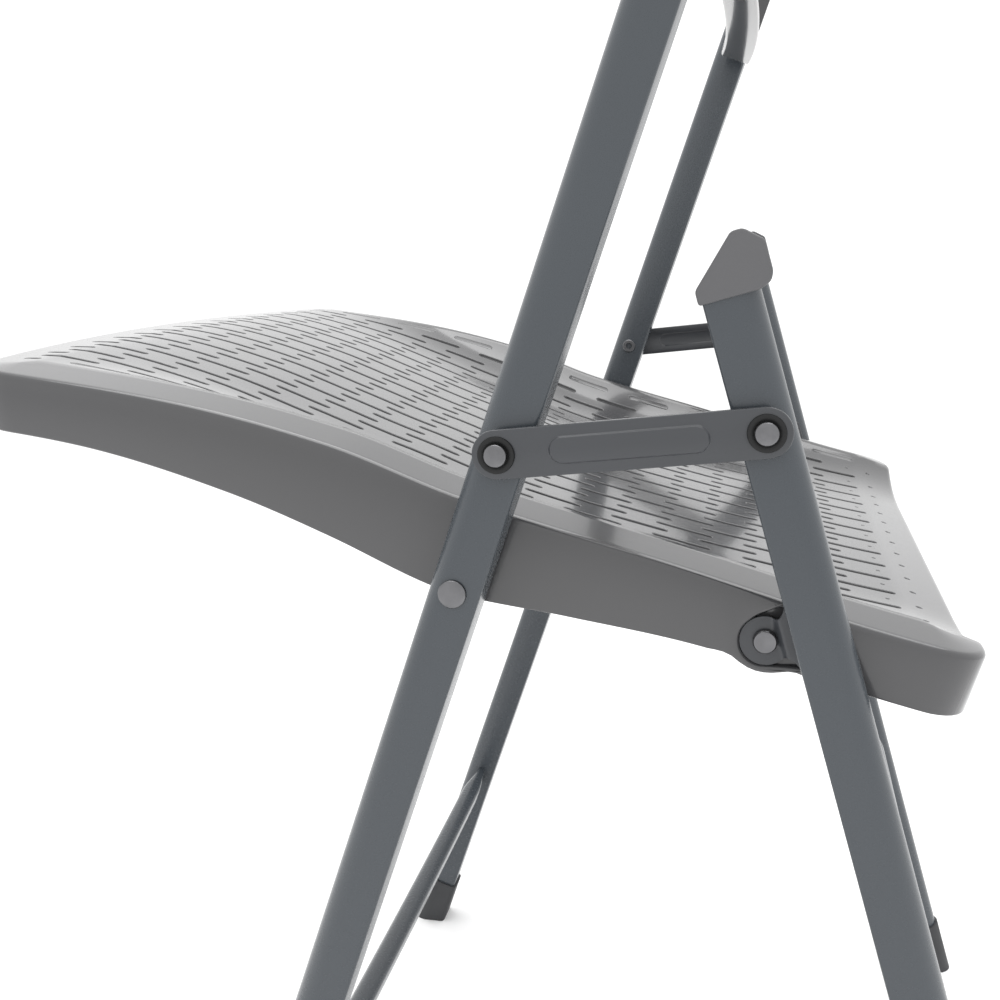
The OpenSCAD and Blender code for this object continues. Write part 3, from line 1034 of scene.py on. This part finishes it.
    def skirt(self, shape: Shape, top: Sequence[int], inner_rim: Sequence[int]) -> None:
        """Adds the side wall from the outer edge down and back up inside.

        Args:
            shape: The shell so far.
            top: The outer edge's ring.
            inner_rim: The ring of the lower face that the wall's inner side meets.
        """
        drops = [(0.0, 0.9), (0.25, 0.28), (0.9, 0.0), (self.wall - 0.7, 0.0), (self.wall - 0.1, 0.5)]
        rings = [list(top)]
        for inset, rise in drops:
            rings.append(
                shape.ring((x - self.lean_in(x), y, self.foot(x, y) + rise) for x, y in self.loop(inset))
            )
        rings.append(
            shape.ring((x, y, self.height(x, y, self.wall) - self.wall) for x, y in self.loop(self.wall))
        )
        rings.append(list(inner_rim))
        skip = self.openings_in_wall(shape, rings[0], rings[1])
        shape.bridge(rings[0], rings[1], skip)
        for a, b in zip(rings[1:], rings[2:]):
            shape.bridge(a, b)

    def lean_in(self, x: float) -> float:
        """How far the wall's lower edge stands forward of its upper edge."""
        return 0.0

    def openings_in_wall(self, shape: Shape, top: Sequence[int], low: Sequence[int]) -> list[int]:
        """Columns of the outer wall that a subclass fills itself."""
        return []


@dataclass
class Seat(Panel):
    """The seat: rim band, dish, slots, and the wall with a hinge pocket in each side.

    Attributes:
        back_edge: The seat's rear edge behind the link's front pivot.
        front_bow: How far the front edge bows forward.
        rim_w: Width of the sloping rim band.
        rim_h: Rise of the rim band.
        dish: Depth of the dish.
        dish_side: Width over which the dish rises to the rim band.
        ear_r: Radius of the wall's swell round the rear hinge.
        ear_blend: How softly the swell joins the wall.
        pocket_r: Radius of the hinge pocket.
        pocket_depth: Its depth.
        pocket_round: Radius of its outer border.
        pocket_rear: Corners of the pocket behind the hinge, from the hinge.
        lug_len: Length of the lugs inside the walls.
        rear_lean_in: How far the rear wall's foot stands forward.
        rim_line: Height of the side wall's top along the seat.
        wall_line: Height of the side wall along the seat.
        dish_line: Depth of the dish along the seat, as a share of its greatest.
        row_starts: Where slot number nought starts in even and odd rows.
        front_margin: Distance of the slots from the front edge.
        dimples: Start, end and radius of the marks behind every second row.
    """

    half_x: float = 194.5
    half_y: float = 190.1
    corner: float = 18.0
    back_edge: float = 171.0
    front_bow: float = 18.0
    rim_w: float = 22.0
    rim_h: float = 2.8
    dish: float = 20.0
    dish_side: float = 75.0
    ear_r: float = 12.0
    ear_blend: float = 9.0
    pocket_r: float = 9.3
    pocket_depth: float = 2.7
    pocket_round: float = 1.3
    pocket_rear: tuple[Pair, ...] = ((18.5, -8.9), (12.6, 11.6), (6.2, 13.5), (-2.8, 9.6))
    lug_len: float = 12.0
    rear_lean_in: float = 6.0
    rim_line: tuple[Pair, ...] = (
        (-240, 26), (-135, 12), (-70, -3), (-20, -21), (60, -43), (125, -61.5), (172, -73),
    )
    wall_line: tuple[Pair, ...] = (
        (-240, 21), (-170, 22), (-110, 28), (-35, 36), (20, 30), (70, 25), (172, 21),
    )
    dish_line: tuple[Pair, ...] = (
        (-240, 0), (-195, 0.02), (-150, 0.32), (-110, 0.7), (-70, 0.96), (0, 1), (60, 0.95),
        (100, 0.8), (156, 0.6), (172, 0.54),
    )
    row_starts: Pair = (-193.8, -213.4)
    front_margin: float = 13.0
    dimples: tuple[tuple[float, float, float], ...] = ((143.0, 143.3, 0.6), (155.8, 156.2, 1.0))

    def __post_init__(self) -> None:
        """Lays out the slots."""
        self.middle = self.back_edge - self.half_x
        self.slots = self.lay_slots()

    def warp(self, u: float, y: float) -> Pair:
        """Bows the front edge forward.

        Args:
            u: Place along the plain rectangle.
            y: Place across it.

        Returns:
            The real place, as (x, y).
        """
        x = u + self.middle
        bow = self.front_bow * (1 - (y / self.half_y) ** 2)
        return (x - bow * (self.back_edge - x) / (2 * self.half_x), y)

    def unwarp(self, x: float, y: float) -> float:
        """Undoes the bow."""
        bow = self.front_bow * (1 - (y / self.half_y) ** 2) / (2 * self.half_x)
        return (x + bow * self.back_edge) / (1 + bow) - self.middle

    def height(self, x: float, y: float, inset: float) -> float:
        """Rim line, rim band, edge rounding and dish together.

        Args:
            x: Place along the seat.
            y: Place across it.
            inset: How far inside the outline that is.

        Returns:
            Height of the upper face.
        """
        crest = self.half_y - self.rim_w
        t = clamp01((abs(y) - crest + self.dish_side) / self.dish_side)
        band = clamp01(inset / self.rim_w)
        edge = clamp01(inset / self.edge_round)
        return (
            smooth_curve(self.rim_line, x)
            + self.rim_h * band
            - self.edge_round * (1 - math.sqrt(1 - (1 - edge) ** 2))
            - self.dish * clamp01(smooth_curve(self.dish_line, x)) * (1 - t**3)
        )

    def foot(self, x: float, y: float) -> float:
        """The wall's lower edge, which swells round each rear hinge.

        Args:
            x: Place along the seat.
            y: Place across it.

        Returns:
            Height of the lower edge.
        """
        base = self.height(x, y, 0) - smooth_curve(self.wall_line, x)
        if abs(y) < self.half_y - self.wall - 0.5:
            return base
        cx, cz = self.hinge()
        off = abs(x - cx) / self.ear_r
        turn_off = 0.9
        ear = cz - self.ear_r * math.sqrt(1 - min(off, turn_off) ** 2)
        if off >= turn_off:
            ear = cz - self.ear_r * 0.436 + (off - turn_off) * self.ear_r * 1.2
        h = clamp01(0.5 + 0.5 * (base - ear) / self.ear_blend)
        return base * (1 - h) + ear * h - self.ear_blend * 0.5 * h * (1 - h)

    def hinge(self) -> Pair:
        """Place of the rear hinge from the link's front pivot, as (x, z)."""
        return (self.layout.c[0] - self.layout.a[0], self.layout.c[1] - self.layout.a[1])

    def lean_in(self, x: float) -> float:
        """The rear wall stands square to the sloping seat, so its foot is further forward."""
        return self.rear_lean_in * smooth_step((x - 110) / (self.back_edge - 110))

    def pocket_outline(self) -> list[Pair]:
        """The hinge pocket's outline from the hinge: round in front and open behind the leg."""
        front = arc((0, 0), self.pocket_r, 125, 262, 9)
        return rounded([*self.pocket_rear, *front], 2.6, 4)

    def lay_slots(self) -> list[Slot]:
        """Places the rows of slots, clipped behind the bowed front edge.

        Returns:
            The slots of all rows, with shallow grooves along both sides and the rear.
        """
        out = []
        r = self.slot_width / 2
        for row in range(self.rows):
            y, opening = self.row_place(row)
            odd = row % 2
            front = self.warp(-self.half_x, y)[0] + self.front_margin
            for k in range(0 if odd else -1, 9):
                x = self.row_starts[odd] + self.slot_pitch * k
                # The slots near the front fan a little towards the rear at the sides.
                shift = 1.0 + 3.0 * (y / 150) ** 2 * clamp01((-60 - x) / 150)
                start, end = max(x + shift, front), x + shift + self.slot_length
                if end - start > 2.4 * r:
                    out.append(Slot(start + r, end - r, y, r, opening))
            if odd:
                out += [Slot(start, end, y, radius, Opening.GROOVE) for start, end, radius in self.dimples]
        return out

    def openings_in_wall(self, shape: Shape, top: Sequence[int], low: Sequence[int]) -> list[int]:
        """Cuts the hinge pocket into each side wall.

        Args:
            shape: The shell so far.
            top: The ring above the wall's flat.
            low: The ring below it.

        Returns:
            Places along the rings that the pocket's own faces fill.
        """
        cx, cz = self.hinge()
        skip: list[int] = []
        n = len(top)
        for sign in (-1, 1):
            columns = [
                i
                for i in range(n)
                if abs(shape.points[top[i]].y - sign * self.half_y) < 1e-4
                and abs((shape.points[top[i]].x + shape.points[top[(i + 1) % n]].x) / 2 - cx - 3) < 19
            ]
            columns.sort()
            skip += columns
            tops = [top[i] for i in columns] + [top[(columns[-1] + 1) % n]]
            lows = [low[i] for i in columns] + [low[(columns[-1] + 1) % n]]
            outer = tops + lows[::-1]

            def sunk(inset: float, depth: float) -> list[int]:
                """One loop of the pocket, below the wall's face."""
                line = moved_in(self.pocket_outline(), inset)
                return shape.ring((cx + x, sign * (self.half_y - depth), cz + z) for x, z in line)

            f, deep = self.pocket_round, self.pocket_depth
            rings = [sunk(-f, 0.0)]
            shape.patch(outer, [rings[0]], [], lambda p: (p.x, p.z))
            for k in (1, 2, 3, 4):
                a = math.pi / 2 * k / 4
                rings.append(sunk(-f * (1 - math.sin(a)), f * (1 - math.cos(a))))
            rings += [sunk(0.0, deep - 0.6), sunk(0.2, deep - 0.15), sunk(0.6, deep)]
            for a_ring, b_ring in zip(rings, rings[1:]):
                shape.bridge(a_ring, b_ring)
            shape.faces.append(tuple(rings[-1]))
        return skip

    def build(self) -> None:
        """Builds the shell with its lugs, and dresses the sleeves."""
        shape = self.shape()
        a = self.layout.a
        placed = Matrix.Translation((a[0], 0, a[1]))
        finish_piece(shape.build("seat_shell", placed), MOULDED_PP, "seat_assembly", ["seat"])
        lugs = Shape()
        for side in Side:
            for pivot, radius in ((self.layout.d, 9.5), (self.layout.c, self.ear_r - 0.7)):
                axle = self.layout.axle(pivot, side, self.half_y)
                inner = -self.lug_len
                profile = [(radius - 0.8, inner), (radius - 0.2, inner + 0.25), (radius, inner + 0.8)]
                lugs.lathe([*profile, (radius, -self.wall)], axle)
        finish_piece(lugs.build("seat_lugs"), MOULDED_PP, "seat_assembly")
        dress_node("seat_pivot_sleeves", ZINC_PLATE, 0.15)
        dress_node("seat_hinge_sleeves", ZINC_PLATE, 0.15)


@dataclass
class Backrest(Panel):
    """The back: a curved shell whose flange sits between the uprights.

    Attributes:
        below_top: Distance of its top below the uprights' tops, along them.
        bow: How far its middle lies behind its sides.
        flange: Depth of the side wall.
        ahead: How far its sides stand ahead of the tubes' centre plane.
        rows_of: Start of the first slot and how many slots, for even and odd rows.
    """

    half_x: float = 100.0
    half_y: float = 192.7
    corner: float = 26.0
    below_top: float = 16.0
    bow: float = 24.0
    rim_h: float = 2.5
    rim_w: float = 20.0
    flange: float = 16.0
    ahead: float = 6.0
    rows_of: tuple[tuple[float, int], ...] = ((-52.8, 3), (-72.4, 4))

    def __post_init__(self) -> None:
        """Lays out the slots, clear of the rim band."""
        r = self.slot_width / 2
        for row in range(self.rows):
            y, opening = self.row_place(row)
            first, count = self.rows_of[row % 2]
            for k in range(count):
                x = first + self.slot_pitch * k
                self.slots.append(Slot(x + r, x + self.slot_length - r, y, r, opening))

    def height(self, x: float, y: float, inset: float) -> float:
        """Rim band, edge rounding and the bow to the rear."""
        edge = clamp01(inset / self.edge_round)
        return (
            self.rim_h * math.sin(math.pi / 2 * clamp01(inset / self.rim_w))
            - self.edge_round * (1 - math.sqrt(1 - (1 - edge) ** 2))
            - (self.bow + self.rim_h) * (1 - (y / self.half_y) ** 2) * clamp01(0.35 + inset / 60)
        )

    def foot(self, x: float, y: float) -> float:
        """The flange's rear edge."""
        return self.height(x, y, 0) - self.flange

    def build(self) -> None:
        """Builds the shell and dresses its screws."""
        lean = math.radians(self.layout.front_lean)
        top = (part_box("front_tube_left")[1].z / MM - self.layout.a[1]) / math.cos(lean)
        half_depth = TubeFrame.depth / 2 * math.tan(lean)
        middle = top - half_depth - self.below_top - self.half_x
        placed = (
            Matrix.Translation((self.layout.a[0], 0, self.layout.a[1]))
            @ Matrix.Rotation(lean, 4, "Y")
            @ Matrix.Translation((-self.ahead, 0, middle))
            @ Matrix.Rotation(math.radians(-90), 4, "Y")
        )
        finish_piece(self.shape().build("back_shell", placed), MOULDED_PP, "front_frame", ["backrest"])
        dress_node("backrest_screws", ZINC_PLATE, 0.25)


# ---------- linkage ----------


@dataclass
class Linkage:
    """The link bars, bushes, rivets, hinge brackets and leg caps.

    Attributes:
        link_w: Width of a link bar.
        rib_w: Width of its raised rib.
        rib_len: Length of the rib.
        rib_h: Rise of the rib.
        link_edge: Radius of the link bar's edges.
        head_r: Radius of the link rivets' heads.
        head_h: Height of those heads.
        shank_r: Radius of the link rivets' shanks.
        pivot_head: Radius and height of the seat pivots' heads.
        cap_outline: Corners of a leg cap, along and above the link's rear pivot on the leg.
        plate_t: Thickness of a hinge plate.
        plate_r: Radius of its round end, inside the seat's pocket.
        plate_bend: Where it bends outwards, from the hinge, and over what length.
        plate_arm: Corners of its arm, from the hinge along and across the leg's lean.
    """

    layout: Layout
    link_w: float = 17.3
    rib_w: float = 9.2
    rib_len: float = 54.0
    rib_h: float = 1.0
    link_edge: float = 0.55
    head_r: float = 4.0
    head_h: float = 1.7
    shank_r: float = 3.0
    pivot_head: Pair = (5.15, 1.4)
    cap_outline: tuple[Pair, ...] = (
        (-11, 45.5), (9.8, 45.5), (13.6, 47.2), (15, 50), (15, 60.5), (9, 66), (5, 66), (-11, 50.5),
    )
    plate_t: float = 1.6
    plate_r: float = 9.2
    plate_bend: Pair = (4.0, 3.2)
    plate_arm: tuple[Pair, ...] = (
        (8.2, -8.4), (9.6, -11.5), (11.3, -13.2), (26.5, -13),
        (26.5, 14), (12.8, 14), (9.7, 11.2), (8.2, 8.4),
    )

    def leg_place(self, pivot: Pair, side: Side, along: float, up: float, y: float) -> Vector:
        """A point placed from a pivot across and up the rear leg's lean, and outwards by y."""
        lean = math.radians(self.layout.rear_lean)
        return Vector((
            pivot[0] + along * math.cos(lean) - up * math.sin(lean),
            side.value * y,
            pivot[1] + along * math.sin(lean) + up * math.cos(lean),
        ))

    def link(self, side: Side) -> None:
        """A flat pressed bar with rounded edges and a rib, raised outside and hollow inside.

        Args:
            side: Which side of the chair.
        """
        node = f"link_{side.word}"
        low, high = (v.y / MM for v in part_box(node))
        near, far = sorted((abs(low), abs(high)))
        face = far - self.rib_h
        a, b = self.layout.a, self.layout.b
        length = math.hypot(b[0] - a[0], b[1] - a[1])
        rise = math.atan2(b[1] - a[1], b[0] - a[0])

        def put(x: float, z: float, y: float) -> Vector:
            """Places a point of the bar, from its front pivot along and above it."""
            return Vector((
                a[0] + x * math.cos(rise) - z * math.sin(rise),
                side.value * y,
                a[1] + x * math.sin(rise) + z * math.cos(rise),
            ))

        shape = Shape()
        start = (length - self.rib_len) / 2 + self.rib_w / 2
        end = length - start

        def ring(first: float, last: float, radius: float, y: float) -> list[int]:
            """One round-ended loop at a height."""
            return shape.ring(put(x, z, y) for x, z in stadium((first, 0), last, radius, 24, 20))

        def rib(grow: float, y: float) -> list[int]:
            """One loop of the rib, grown beyond its width."""
            return ring(start, end, self.rib_w / 2 + grow, y)

        rings = [rib(-1.1, near + 0.8), rib(-0.9, near + 0.72), rib(-0.4, near + 0.12), rib(-0.2, near)]
        for inset, y in edge_steps((near, face), self.link_edge):
            rings.append(ring(0, length, self.link_w / 2 - inset, y))
        for k in range(7):
            t = k / 6
            rings.append(rib(0.5 - 1.1 * t, face + self.rib_h * smooth_step(t)))
        shape.loft(rings)
        # The bar shares the hinge plates' darker coat, which is painted shade of the seat's pockets.
        finish_piece(
            shape.build(f"link_bar_{side.word}", None, math.radians(50)),
            POWDER_COAT_PAINTED_SHADE, f"{side.word}_link", [node],
        )

    def rivet(
        self, name: str, pivot: Pair, seat_y: float, head: Pair, body: str, nodes: Sequence[str],
        inner: Pair, sides: Iterable[Side] = tuple(Side),
    ) -> None:
        """Zinc-plated rivets: heads with a soft edge, shanks, and rolled tails inside.

        Args:
            name: The piece's name.
            pivot: The pivot it stands on.
            seat_y: The face the head rests on, from the middle plane.
            head: Radius and height of the head.
            body: The body it rides on.
            nodes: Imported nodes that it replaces.
            inner: Inner end of the shank, and the shank's radius.
            sides: Which sides get one.
        """
        shape = Shape()
        radius, height = head
        for side in sides:
            axle = self.layout.axle(pivot, side, seat_y)
            profile = [(radius - 0.12, 0.0), (radius, 0.15), (radius, height * 0.45)]
            profile += [
                (radius - 0.75 * (1 - math.cos(t)), height * 0.45 + height * 0.47 * math.sin(t))
                for t in (0.4, 0.8, 1.2, 1.57)
            ]
            profile += [(radius * 0.55, height * 0.97), (radius * 0.2, height)]
            depth, shank = seat_y - inner[0], inner[1]
            tail = [(shank * 0.62, 1.6), (shank * 0.62, 0.3), (shank * 0.7, 0.0), (shank + 0.8, 0.0)]
            tail += [(shank + 1.1, 0.35), (shank + 1.0, 1.0), (shank, 1.2)]
            shape.lathe([(r, h - depth) for r, h in tail] + [(shank, 0.0)] + profile, axle)
        finish_piece(shape.build(name, None, math.radians(38)), ZINC_PLATE, body, nodes)

    def bush(self, node: str, pivot: Pair, side: Side) -> None:
        """A black flanged bush with a stepped, rounded collar round the rivet.

        Args:
            node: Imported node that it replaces.
            pivot: Place of its axis as (x, z).
            side: Which side of the chair.
        """
        low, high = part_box(node)
        near, far = sorted((abs(low.y / MM), abs(high.y / MM)))
        radius = (high.x - low.x) / MM / 2
        axle = self.layout.axle(pivot, side, near)
        deep = far - near
        shape = Shape()
        shape.lathe(
            [(radius - 0.3, 0.0), (radius, 0.3), (radius, deep - 0.55), (radius - 0.15, deep - 0.2),
             (radius - 0.5, deep - 0.02), (radius - 1.0, deep), (radius - 1.7, deep - 0.06),
             (radius - 2.1, deep - 0.35), (radius - 2.6, deep - 0.4)],
            axle,
        )
        piece = shape.build(f"collar_{node[5:]}", None, math.radians(38))
        finish_piece(piece, NYLON, f"{side.word}_link", [node])

    def cap(self, side: Side) -> None:
        """A wedge-shaped cap with softened corners over the top of a rear leg.

        Args:
            side: Which side of the chair.
        """
        node = f"leg_cap_{side.word}"
        low, high = (abs(v.y / MM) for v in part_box(node))
        near, far = sorted((low, high))

        def put(x: float, z: float, y: float) -> Vector:
            """Places a point of the cap on the leg."""
            return self.leg_place(self.layout.b, side, x, z, y)

        shape = Shape()
        shape.slab(rounded(self.cap_outline, 1.3), (near, far), 0.7, put)
        piece = shape.build(f"leg_end_{side.word}", None, math.radians(40))
        finish_piece(piece, ETCHED_PP, "rear_frame", [node])

    def bracket(self, side: Side) -> None:
        """The hinge bracket: flat in the seat's pocket, bent out and welded to the leg's inner face.

        Args:
            side: Which side of the chair.
        """
        node = f"hinge_bracket_{side.word}"
        outline = rounded([*arc((0, 0), self.plate_r, 50, 310, 22), *self.plate_arm], 1.2, 2)
        sunk_y, arm_y, thick = self.layout.seat_side - 0.9, self.layout.tube_in - 0.3, self.plate_t

        def put(along: float, up: float, y: float) -> Vector:
            """Places a point of the plate, bent outwards along its arm."""
            bent = smooth_step((along - self.plate_bend[0]) / self.plate_bend[1])
            return self.leg_place(self.layout.c, side, along, up, y + sunk_y + (arm_y - sunk_y) * bent)

        shape = Shape()
        rings = []
        for inset, y in ((0.4, -thick), (0.0, 0.4 - thick), (0.0, -0.2), (0.05, -0.05), (0.2, 0.0)):
            rings.append(shape.ring(put(x, z, y) for x, z in moved_in(outline, inset)))
        for low_ring, high_ring in zip(rings, rings[1:]):
            shape.bridge(low_ring, high_ring)
        columns = (-6, -3, 0, 2, 3.4, 4, 4.6, 5.2, 5.8, 6.4, 7, 7.6, 9)
        kept = [(x, z) for x in columns for z in range(-12, 13, 3) if inside(outline, (x, z), 0.9)]
        for ring, y in ((rings[0], -thick), (rings[-1], 0.0)):
            shape.patch(ring, [], shape.ring(put(x, z, y) for x, z in kept), lambda p: (p.x, p.z))
        # The plate's coat is painted darker: painted shade of the seat's hinge pocket.
        piece = shape.build(f"hinge_plate_{side.word}", None, math.radians(50))
        finish_piece(piece, POWDER_COAT_PAINTED_SHADE, "rear_frame", [node])

    def build(self) -> None:
        """Builds every piece of the linkage on both sides."""
        lay = self.layout
        for side in Side:
            self.link(side)
            self.bush(f"link_front_bush_{side.word}", lay.a, side)
            self.bush(f"link_rear_bush_{side.word}", lay.b, side)
            self.cap(side)
            self.bracket(side)
            head_seat = max(abs(v.y / MM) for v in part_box(f"link_{side.word}"))
            self.rivet(
                f"link_rivet_{side.word}", lay.b, head_seat, (self.head_r, self.head_h), f"{side.word}_link",
                [f"link_rear_rivet_{side.word}"], (lay.tube_out + 0.3, self.shank_r), (side,),
            )
        self.rivet(
            "front_link_rivets", lay.a, head_seat, (self.head_r, self.head_h), "front_frame",
            ["link_front_rivets"], (lay.tube_in - 1.3, self.shank_r),
        )
        self.rivet(
            "seat_pivots", lay.d, lay.tube_out, self.pivot_head, "front_frame", ["seat_pivot_rivets"],
            (lay.seat_side - 14.1, 4.0),
        )
        dress_node("seat_hinge_rivets", ZINC_PLATE, 0.35)
        dress_node("link_rear_rivet_tails", ZINC_PLATE, 0.3)
        dress_node("seat_pivot_spacers", NYLON, 0.2)


# ---------- studio ----------


@dataclass
class Studio:
    """A plain pale floor, soft light all round and the camera.

    Attributes:
        layout: Where the pivots are; the camera is placed from the link's front pivot.
        eye: The camera's place from that pivot, in millimetres.
        yaw: Turn of the view towards -X from +Y, in degrees.
        pitch: Tilt of the view below level, in degrees.
        lens: Focal length for a 36 mm sensor.
    """

    layout: Layout
    eye: tuple[float, float, float] = (87.61, -599.7, 74.06)
    yaw: float = 10.14
    pitch: float = 10.37
    lens: float = 42.467

    def camera(self) -> None:
        """Stands the camera beside the chair at the height of the link bars."""
        data = bpy.data.cameras.new("view")
        data.lens, data.sensor_width = self.lens, 36.0
        data.shift_x, data.shift_y = -0.05, -0.05
        data.clip_start = 0.01
        cam = bpy.data.objects.new("view", data)
        bpy.context.scene.collection.objects.link(cam)
        a = self.layout.a
        cam.location = Vector((a[0] + self.eye[0], self.eye[1], a[1] + self.eye[2])) * MM
        cam.rotation_euler = (math.radians(90 - self.pitch), 0, math.radians(self.yaw))
        bpy.context.scene.camera = cam

    def floor(self) -> None:
        """A wide floor of pale matt board."""
        work = bmesh.new()
        bmesh.ops.create_grid(work, x_segments=2, y_segments=2, size=9.0)
        mesh = bpy.data.meshes.new("floor")
        work.to_mesh(mesh)
        work.free()
        board = bpy.data.objects.new("floor", mesh)
        bpy.context.scene.collection.objects.link(board)
        made = bpy.data.materials.new("matt_white_board")
        made.use_nodes = True
        surface = made.node_tree.nodes["Principled BSDF"]
        surface.inputs["Base Color"].default_value = linear("#F6F6F6")
        surface.inputs["Roughness"].default_value = 0.9
        mesh.materials.append(made)

    def lamp(
        self, name: str, place: Sequence[float], target: Sequence[float], size: Pair, power: float
    ) -> None:
        """One soft rectangular lamp aimed at a point, in metres and watts.

        Args:
            name: Of the lamp.
            place: Where it hangs.
            target: What it is aimed at.
            size: Of its panel.
            power: In watts.
        """
        data = bpy.data.lights.new(name, "AREA")
        data.shape = "RECTANGLE"
        data.size, data.size_y, data.energy = size[0], size[1], power
        lamp = bpy.data.objects.new(name, data)
        bpy.context.scene.collection.objects.link(lamp)
        lamp.location = Vector(place)
        lamp.rotation_euler = (Vector(target) - Vector(place)).to_track_quat("-Z", "Y").to_euler()

    def build(self) -> None:
        """Sets up the floor, the light and the camera."""
        self.floor()
        world = bpy.data.worlds.new("studio")
        world.use_nodes = True
        sky = world.node_tree.nodes["Background"]
        sky.inputs["Color"].default_value = (1.0, 1.0, 1.0, 1.0)
        sky.inputs["Strength"].default_value = 1.25
        bpy.context.scene.world = world
        self.lamp("overhead", (0.05, 0.3, 2.0), (0, 0, 0.4), (1.8, 1.8), 28.0)
        bpy.context.scene.view_settings.view_transform = "Standard"
        bpy.context.scene.view_settings.look = "None"
        self.camera()


def main() -> None:
    """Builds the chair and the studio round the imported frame."""
    logging.basicConfig(level=logging.INFO, format="%(name)s %(message)s")
    layout = Layout.read()
    TubeFrame(layout).build()
    Seat(layout).build()
    Backrest(layout).build()
    Linkage(layout).build()
    Studio(layout).build()


if __name__ == "__main__":
    main()
